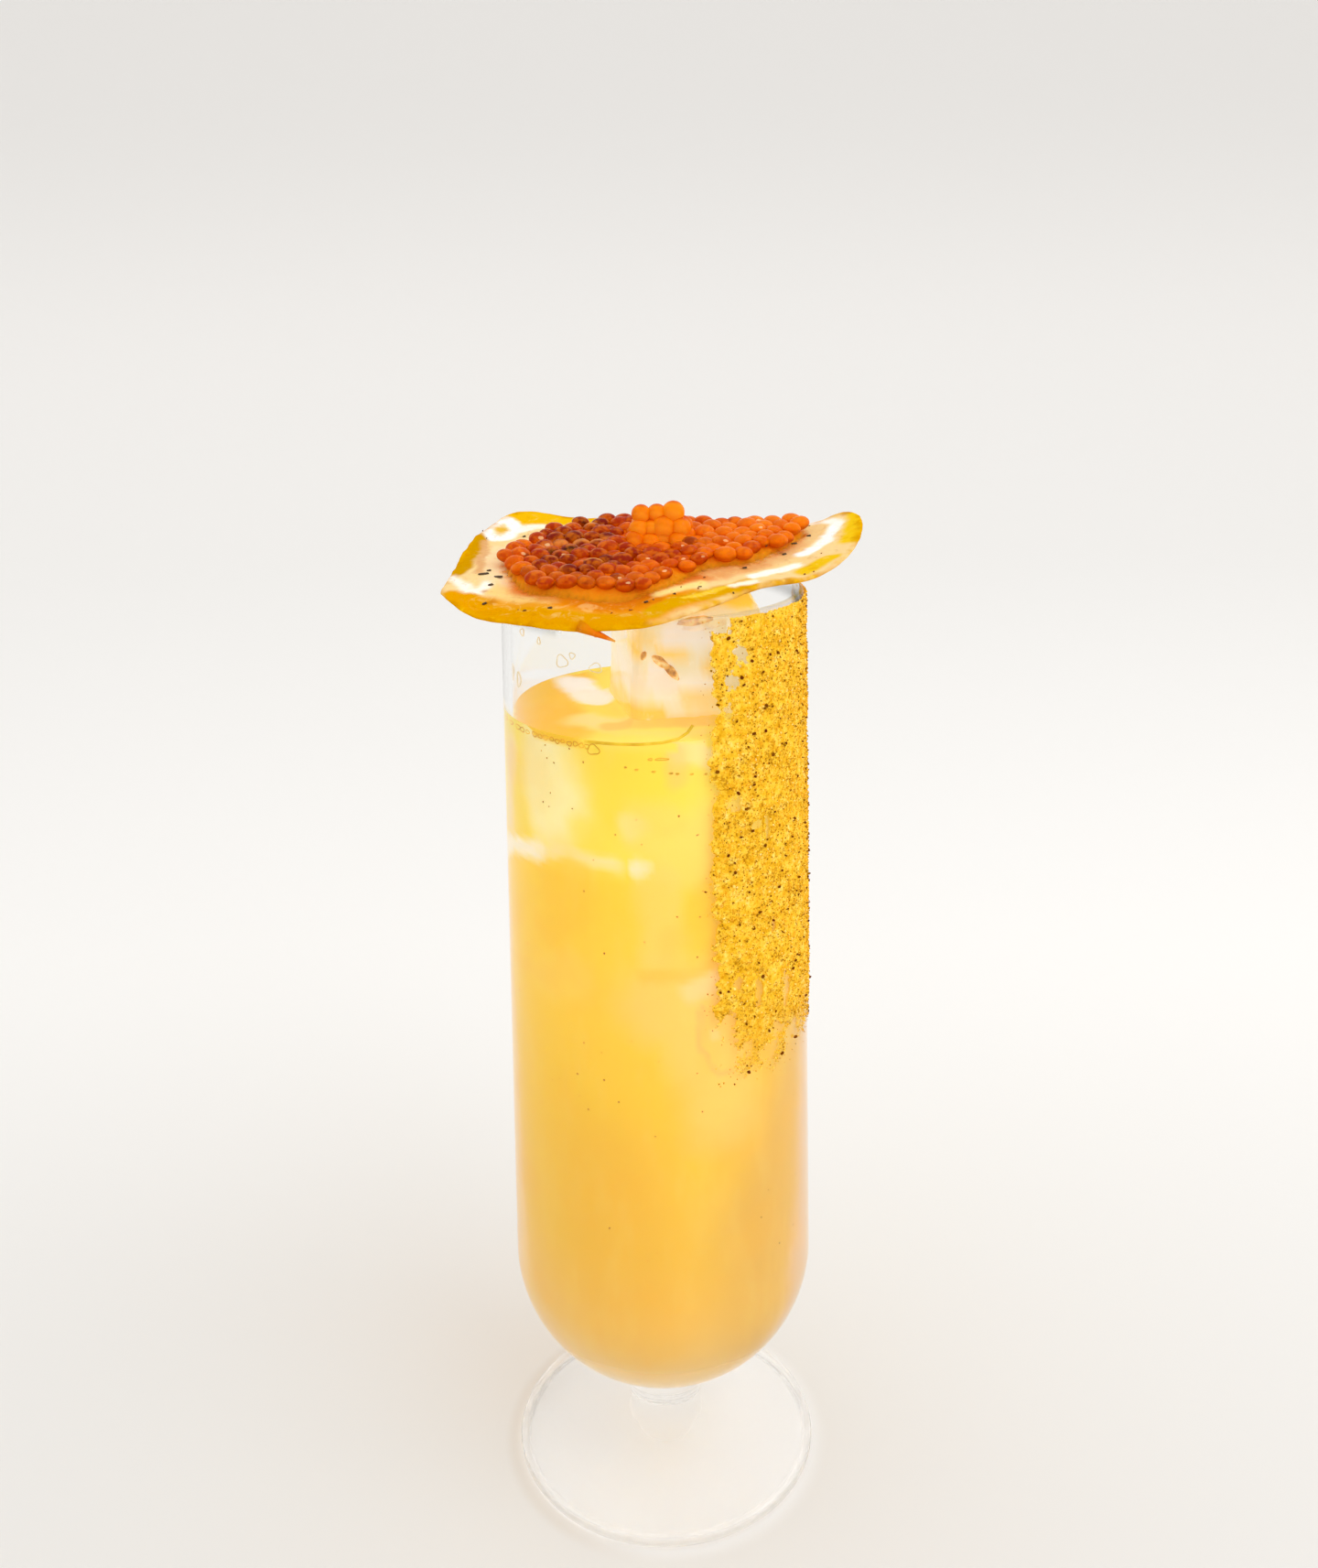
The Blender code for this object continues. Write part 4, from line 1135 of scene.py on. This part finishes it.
def roeGlaze():
    n = Nodes("roeGlaze")
    colour = n.blend(n.spread(n.noise(2.2 * mm, 4.0), 0.4, 0.7, 0.0, 0.5), n.paint(), shade(238, 122, 8))
    colour = n.blend(n.spread(n.noise(3.6 * mm, 5.0, 0.65), 0.6, 0.72, 0.0, 0.7), colour, shade(120, 34, 2))
    # it thins out over the crisp around the eggs
    thin = n.maths("ADD", n.attribute("depth"), n.maths("MULTIPLY", n.noise(2.4 * mm, 3.0), 0.5))
    colour = n.blend(n.spread(thin, 0.7, 1.5, 0.95, 0.0), colour, shade(232, 150, 24))
    # painted glow: the juice gives out light in its own colour
    return n.finish(
        Base_Color=colour, Roughness=0.12, IOR=1.4, Specular_IOR_Level=0.02, Subsurface_Weight=0.3,
        Subsurface_Radius=(1.0, 0.3, 0.06), Subsurface_Scale=1.2 * mm, Normal=n.bump(n.noise(1.2 * mm, 3.0), 0.3 * mm, 0.5),
        Emission_Color=colour, Emission_Strength=0.08, Alpha=n.spread(thin, 0.35, 1.1),
    )


def insideLoop(place, loop):
    within = False
    for k in range(len(loop)):
        a, b = loop[k - 1], loop[k]
        if (a.y > place.y) != (b.y > place.y) and place.x < a.x + (b.x - a.x) * (place.y - a.y) / (b.y - a.y):
            within = not within
    return within


def smoothLoop(points, perSpan):
    places = []
    for i in range(len(points)):
        a, b, c, d = (Vector(points[(i + k) % len(points)]) for k in (-1, 0, 1, 2))
        for step in range(perSpan):
            t = step / perSpan
            places.append(0.5 * (2 * b + (c - a) * t + (2 * a - 5 * b + 4 * c - d) * t ** 2 + (3 * b - a - 3 * c + d) * t ** 3))
    return places


def restFinder(sheet):
    # how high the crisp's top lies at a place in plan
    tree = BVHTree.FromObject(sheet, bpy.context.evaluated_depsgraph_get())

    def top(x, y):
        hit = tree.ray_cast(Vector((x, y, 1)), Vector((0, 0, -1)))
        return hit[0] if hit[0] is None else hit[0].z

    return top


def eggTone(where, layer, draw):
    # painted light and shade by place: darker to the left of the middle, lighter to the right, brightest in the heap
    x, y = where.x / mm, where.y / mm
    middle = max(0.0, min(1.0, (x + 9) / 9))
    right = max(0.0, min(1.0, (x - 4) / 16))
    left = max(0.0, min(1.0, (-21 - x) / 6))
    front = max(0.0, min(1.0, (-18 - y) / 6))
    tone = 0.14 + 0.24 * middle + 0.2 * right + 0.4 * left + 0.1 * front + draw.uniform(-0.16, 0.18)
    if layer:
        tone = 0.62 + 0.08 * layer + draw.uniform(-0.14, 0.14)
    return min(1.0, max(0.0, tone))


def buildRoe(top):
    r = roeShape
    loop = [point * mm for point in smoothLoop(r["bed"], 6)]
    draw = random.Random(11)
    eggs = []
    rowStep = r["spacing"] * math.sqrt(3) / 2
    for row in range(-10, 9):
        for column in range(-12, 13):
            spot = Vector(((column + 0.5 * (row % 2)) * r["spacing"], row * rowStep))
            spot += Vector((draw.uniform(-0.55, 0.55), draw.uniform(-0.55, 0.55))) * mm
            away = spot - r["heap"]
            if insideLoop(spot, loop) and math.hypot(away.x, away.y / r["depth"]) > r["reach"] + 0.3 * mm:
                radius = r["egg"] * draw.uniform(0.9, 1.12)
                lift = r["glaze"] + radius * draw.uniform(-0.12, 0.2) - 0.1 * mm
                eggs.append((Vector((spot.x, spot.y, top(spot.x, spot.y) + lift)), radius, 0))
    for layer, (across, deep, rise, grow) in enumerate(r["layers"], 1):
        for k in range(across * deep):
            i, j = k % across - (across - 1) / 2, k // across - (deep - 1) / 2
            if layer == 1 and abs(i) > 1.9 and abs(j) > 1.4:
                continue
            spot = r["heap"] + Vector((i + 0.25 * (k // across % 2), j * 0.85)) * r["heapStep"]
            spot += Vector((draw.uniform(-0.6, 0.6), draw.uniform(-0.9, 0.9))) * mm
            height = top(r["heap"].x, r["heap"].y) * 0.5 + top(spot.x, spot.y) * 0.5 + (rise + draw.uniform(-0.5, 0.4)) * mm
            eggs.append((Vector((spot.x, spot.y, height)), r["egg"] * grow * draw.uniform(0.88, 1.12), layer))
    startClean()
    bpy.ops.mesh.primitive_uv_sphere_add(segments=20, ring_count=12, radius=1)
    ball = bpy.context.object
    places = []
    for where, radius, layer in eggs:
        flat = 0.66 if layer == 0 else 0.95
        size = (radius * draw.uniform(0.97, 1.06), radius * draw.uniform(0.97, 1.06), radius * flat * draw.uniform(0.92, 1.06))
        lean = Matrix.Rotation(draw.uniform(-0.2, 0.2), 3, "X") @ Matrix.Rotation(draw.uniform(-0.2, 0.2), 3, "Y")
        places.append(placed(where, lean @ Matrix.Rotation(draw.uniform(0, 3), 3, "Z"), size))
    piece = joinedCopies("roeEggs", ball.data, places)
    tones = np.array([eggTone(where, layer, draw) for where, _, layer in eggs])
    steps = np.linspace(0, 1, len(r["tones"]))
    each = np.stack([np.interp(tones, steps, [tone[k] for tone in r["tones"]]) for k in range(3)], axis=1)
    corners = len(ball.data.vertices)
    toneEach(piece, corners, [draw.random() for _ in eggs])
    toneEach(piece, corners, [1.0 if layer else 0.0 for _, _, layer in eggs], "heaped")
    bpy.data.objects.remove(ball)
    settle(piece, "roeEggs", roeOrange(), "orange_roe", "roe")
    heaped = np.repeat([100.0 if layer else 0.0 for _, _, layer in eggs], corners)
    brush(piece, lambda points: np.repeat(each, corners, axis=0), r["strokes"], lambda p: inPlan(p) + heaped[:, None], 0.7, 3)

    # the film of roe juice that fills the gaps between the eggs
    startClean()
    bpy.ops.mesh.primitive_grid_add(x_subdivisions=150, y_subdivisions=110, size=1, location=(0, 0, 0))
    film = bpy.context.object
    outline = KDTree(len(loop))
    for k, point in enumerate(loop):
        outline.insert(point.to_3d(), k)
    outline.balance()
    spare, depths = [], []
    for vertex in film.data.vertices:
        spot = Vector((1 + vertex.co.x * 70, -4 + vertex.co.y * 50, 0)) * mm
        depth = outline.find(spot)[2]
        if not insideLoop(spot, loop):
            depth = -depth
        floor = top(spot.x, spot.y)
        spare.append(depth < -r["bleed"] or floor is None)
        depths.append(depth / (4 * mm) + 0.6)
        if spare[-1]:
            continue
        rise = max(0.1 * mm, min(1.0, (depth + 0.6 * mm) / (3 * mm)) * r["glaze"])
        rise *= 1 + 0.3 * noise.noise(spot / (3.5 * mm))
        vertex.co = Vector((spot.x, spot.y, floor + rise))
    layer = film.data.attributes.new("depth", "FLOAT", "POINT")
    layer.data.foreach_set("value", np.array(depths, dtype=np.float32))
    keepOnly(film, [not drop for drop in spare])
    thick = film.modifiers.new("film", "SOLIDIFY")
    thick.thickness = 0.4 * mm
    thick.offset = -1
    applyAll(film)
    settle(film, "roeFilm", roeGlaze(), "orange_roe", "roe")
    brush(film, shade(220, 92, 2), r["strokes"], inPlan, 0.7, 3)


# Herbs and small specks on the garnish

fleckLook = {
    # place in plan, half length, half width, turn in degrees
    "herbs": [
        ((-33, -11.5), 1.2, 0.5, 20), ((-30, -12.7), 1.0, 0.55, -15), ((-31.2, -16.4), 0.6, 0.4, 40), ((-32.2, -9.6), 0.5, 0.3, 0),
        ((-29.4, 5.3), 0.3, 0.2, 0), ((-27.6, 5.2), 0.3, 0.2, 0), ((-26.9, 11.3), 0.4, 0.25, 30), ((-31.6, -24.5), 0.7, 0.3, 60),
        ((-18.9, -29.2), 0.5, 0.3, 0), ((-1.1, -26.5), 0.5, 0.3, 40), ((0, -18.5), 0.5, 0.35, 0), ((29.5, 4), 0.8, 0.3, 10),
        ((27, -1.5), 0.6, 0.3, 40), ((33, 8), 0.5, 0.25, 0), ((18.5, -9), 0.5, 0.3, 0),
    ],
    "specks": 34,
}


def herbDark():
    n = Nodes("herbDark")
    colour = n.ramp(n.attribute("tone"), [(0.0, shade(44, 36, 8)), (0.4, shade(92, 60, 12)), (1.0, shade(168, 96, 14))])
    return n.finish(Base_Color=colour, Roughness=0.5, Normal=n.bump(n.noise(0.5 * mm, 3.0), 0.1 * mm, 0.5))


def buildFlecks(top):
    f = fleckLook
    draw = random.Random(5)
    startClean()
    bpy.ops.mesh.primitive_ico_sphere_add(subdivisions=2, radius=1)
    seed = bpy.context.object
    for vertex in seed.data.vertices:
        vertex.co *= 1 + 0.4 * noise.noise(vertex.co * 1.7)
    places = []
    for (x, y), halfLength, halfWidth, turn in f["herbs"]:
        where = Vector((x * mm, y * mm, top(x * mm, y * mm) + 0.1 * mm))
        places.append(placed(where, Matrix.Rotation(math.radians(turn), 3, "Z"), (halfLength * mm, halfWidth * mm, 0.22 * mm)))
    tones = [draw.uniform(0, 0.3) for _ in places]
    while len(places) < len(f["herbs"]) + f["specks"]:
        x, y = draw.uniform(-36, 40) * mm, draw.uniform(-32, 20) * mm
        height = top(x, y)
        if height is None:
            continue
        onRoe = insideLoop(Vector((x, y)), [point * mm for point in smoothLoop(roeShape["bed"], 3)])
        size = draw.uniform(0.1, 0.26) * mm
        lift = 1.9 * mm if onRoe else 0.05 * mm
        places.append(placed(Vector((x, y, height + lift)), anyTurn(draw), (size * draw.uniform(1, 2.2), size, size * 0.5)))
        tones.append(draw.uniform(0.2, 1))
    piece = joinedCopies("herbFlecks", seed.data, places)
    toneEach(piece, len(seed.data.vertices), tones)
    bpy.data.objects.remove(seed)
    settle(piece, "herbFlecks", herbDark(), "golden_spice", "crisp")


# Floor, light and camera

studio = {
    "floor": shade(253, 252, 250), "near": shade(234, 233, 231), "gathered": (0.165, 0.17, 0.18), "lens": 31.67, "eye": Vector((0.75, -281.3, 276.8)) * mm,
    "pitch": 19.57, "roll": -0.91, "sky": (1.0, 0.998, 0.992), "skyStrength": 0.95, "dim": (0.74, 0.7, 0.67),
    "lamp": 3.6, "lampSize": 0.9, "lampPlace": (0.62, -0.5, 0.95),
}


def buildBackdrop():
    # a floor that sweeps up into a wall behind
    startClean()
    bpy.ops.mesh.primitive_plane_add(size=6, location=(0, -1.8, -0.2 * mm))
    floor = bpy.context.object
    floor.name = "floor"
    pick(floor)
    bpy.ops.object.transform_apply(location=True)
    bpy.ops.object.mode_set(mode="EDIT")
    bpy.ops.mesh.select_mode(type="EDGE")
    bpy.ops.mesh.select_all(action="DESELECT")
    bpy.ops.object.mode_set(mode="OBJECT")
    for edge in floor.data.edges:
        edge.select = all(floor.data.vertices[i].co.y > 1 for i in edge.vertices)
    bpy.ops.object.mode_set(mode="EDIT")
    radius, steps = 1.2, 20
    for k in range(steps):
        turn = math.radians(90) * (k + 0.5) / steps
        length = 2 * radius * math.sin(math.radians(45) / steps)
        step = (0, length * math.cos(turn), length * math.sin(turn))
        bpy.ops.mesh.extrude_edges_move(TRANSFORM_OT_translate={"value": step})
    bpy.ops.mesh.extrude_edges_move(TRANSFORM_OT_translate={"value": (0, 0, 2.5)})
    bpy.ops.object.mode_set(mode="OBJECT")
    bpy.ops.object.shade_smooth()
    n = Nodes("paleFloor")
    split = n.add("SeparateXYZ")
    n.link(n.place, split.inputs[0])
    # painted shade: the floor darker towards the camera, and the wall darker higher up
    pale = n.maths("MULTIPLY", n.spread(split.outputs["Y"], -0.1, 0.3), n.spread(split.outputs["Z"], 0.15, 0.6, 1.0, 0.5))
    colour = n.blend(pale, studio["near"], studio["floor"])
    # light gathered by the foot, and the faint band of shade around it
    ring = n.maths("MULTIPLY", n.spread(n.fromAxis(), 0.0366, 0.0376), n.spread(n.fromAxis(), 0.0385, 0.042, 0.4, 0.0))
    left = n.spread(split.outputs["X"], -0.03, 0.0, 1.0, 0.0)
    colour = n.blend(n.maths("MULTIPLY", ring, left), colour, shade(206, 192, 172))
    n.finish(
        Base_Color=colour, Roughness=0.9, Emission_Color=studio["gathered"],
        Emission_Strength=n.spread(n.fromAxis(), 0.034, 0.042, 1.0, 0.0),
    )
    floor.data.materials.append(n.material)


def buildSky():
    # even studio white, a little darker and warmer behind the camera
    s = studio
    world = bpy.data.worlds.new("studioSky")
    bpy.context.scene.world = world
    world.use_nodes = True
    world.cycles.sampling_method = "NONE"
    tree = world.node_tree
    back = tree.nodes["Background"]
    aim = tree.nodes.new("ShaderNodeTexCoord")
    split = tree.nodes.new("ShaderNodeSeparateXYZ")
    tree.links.new(aim.outputs["Generated"], split.inputs[0])
    share = tree.nodes.new("ShaderNodeMapRange")
    share.interpolation_type = "SMOOTHSTEP"
    for key, number in (("From Min", -1.0), ("From Max", -0.45), ("To Min", 1.0), ("To Max", 0.0)):
        share.inputs[key].default_value = number
    tree.links.new(split.outputs["Y"], share.inputs["Value"])
    mix = tree.nodes.new("ShaderNodeMix")
    mix.data_type = "RGBA"
    tree.links.new(share.outputs["Result"], mix.inputs[0])
    mix.inputs[6].default_value = (*s["sky"], 1)
    mix.inputs[7].default_value = (*s["dim"], 1)
    tree.links.new(mix.outputs[2], back.inputs["Color"])
    back.inputs["Strength"].default_value = s["skyStrength"]


def buildLamp():
    s = studio
    data = bpy.data.lights.new("window", "AREA")
    data.size = s["lampSize"]
    data.energy = s["lamp"]
    data.color = (1, 0.985, 0.96)
    data.cycles.use_multiple_importance_sampling = False
    lamp = bpy.data.objects.new("window", data)
    bpy.context.scene.collection.objects.link(lamp)
    lamp.location = s["lampPlace"]
    lamp.rotation_euler = (Vector((0, 0, 0.1)) - lamp.location).to_track_quat("-Z", "Y").to_euler()


def buildCamera():
    s = studio
    data = bpy.data.cameras.new("camera")
    data.lens = s["lens"]
    data.clip_start = 0.01
    camera = bpy.data.objects.new("camera", data)
    bpy.context.scene.collection.objects.link(camera)
    tilt = Matrix.Rotation(math.radians(90 - s["pitch"]), 4, "X") @ Matrix.Rotation(math.radians(s["roll"]), 4, "Z")
    camera.matrix_world = Matrix.Translation(s["eye"]) @ tilt
    bpy.context.scene.camera = camera
    bpy.context.scene.view_settings.view_transform = "Standard"


settle(turnOnAxis(glassProfile(), glassShape["sides"]), "glassBody", clearGlass(), "clear_glass", "glass")
buildDrink()
buildIce()
buildFlakes()
buildBubbles()
buildCrust()
crispTop = restFinder(buildCrisp())
buildRoe(crispTop)
buildFlecks(crispTop)
buildBackdrop()
buildSky()
buildLamp()
buildCamera()
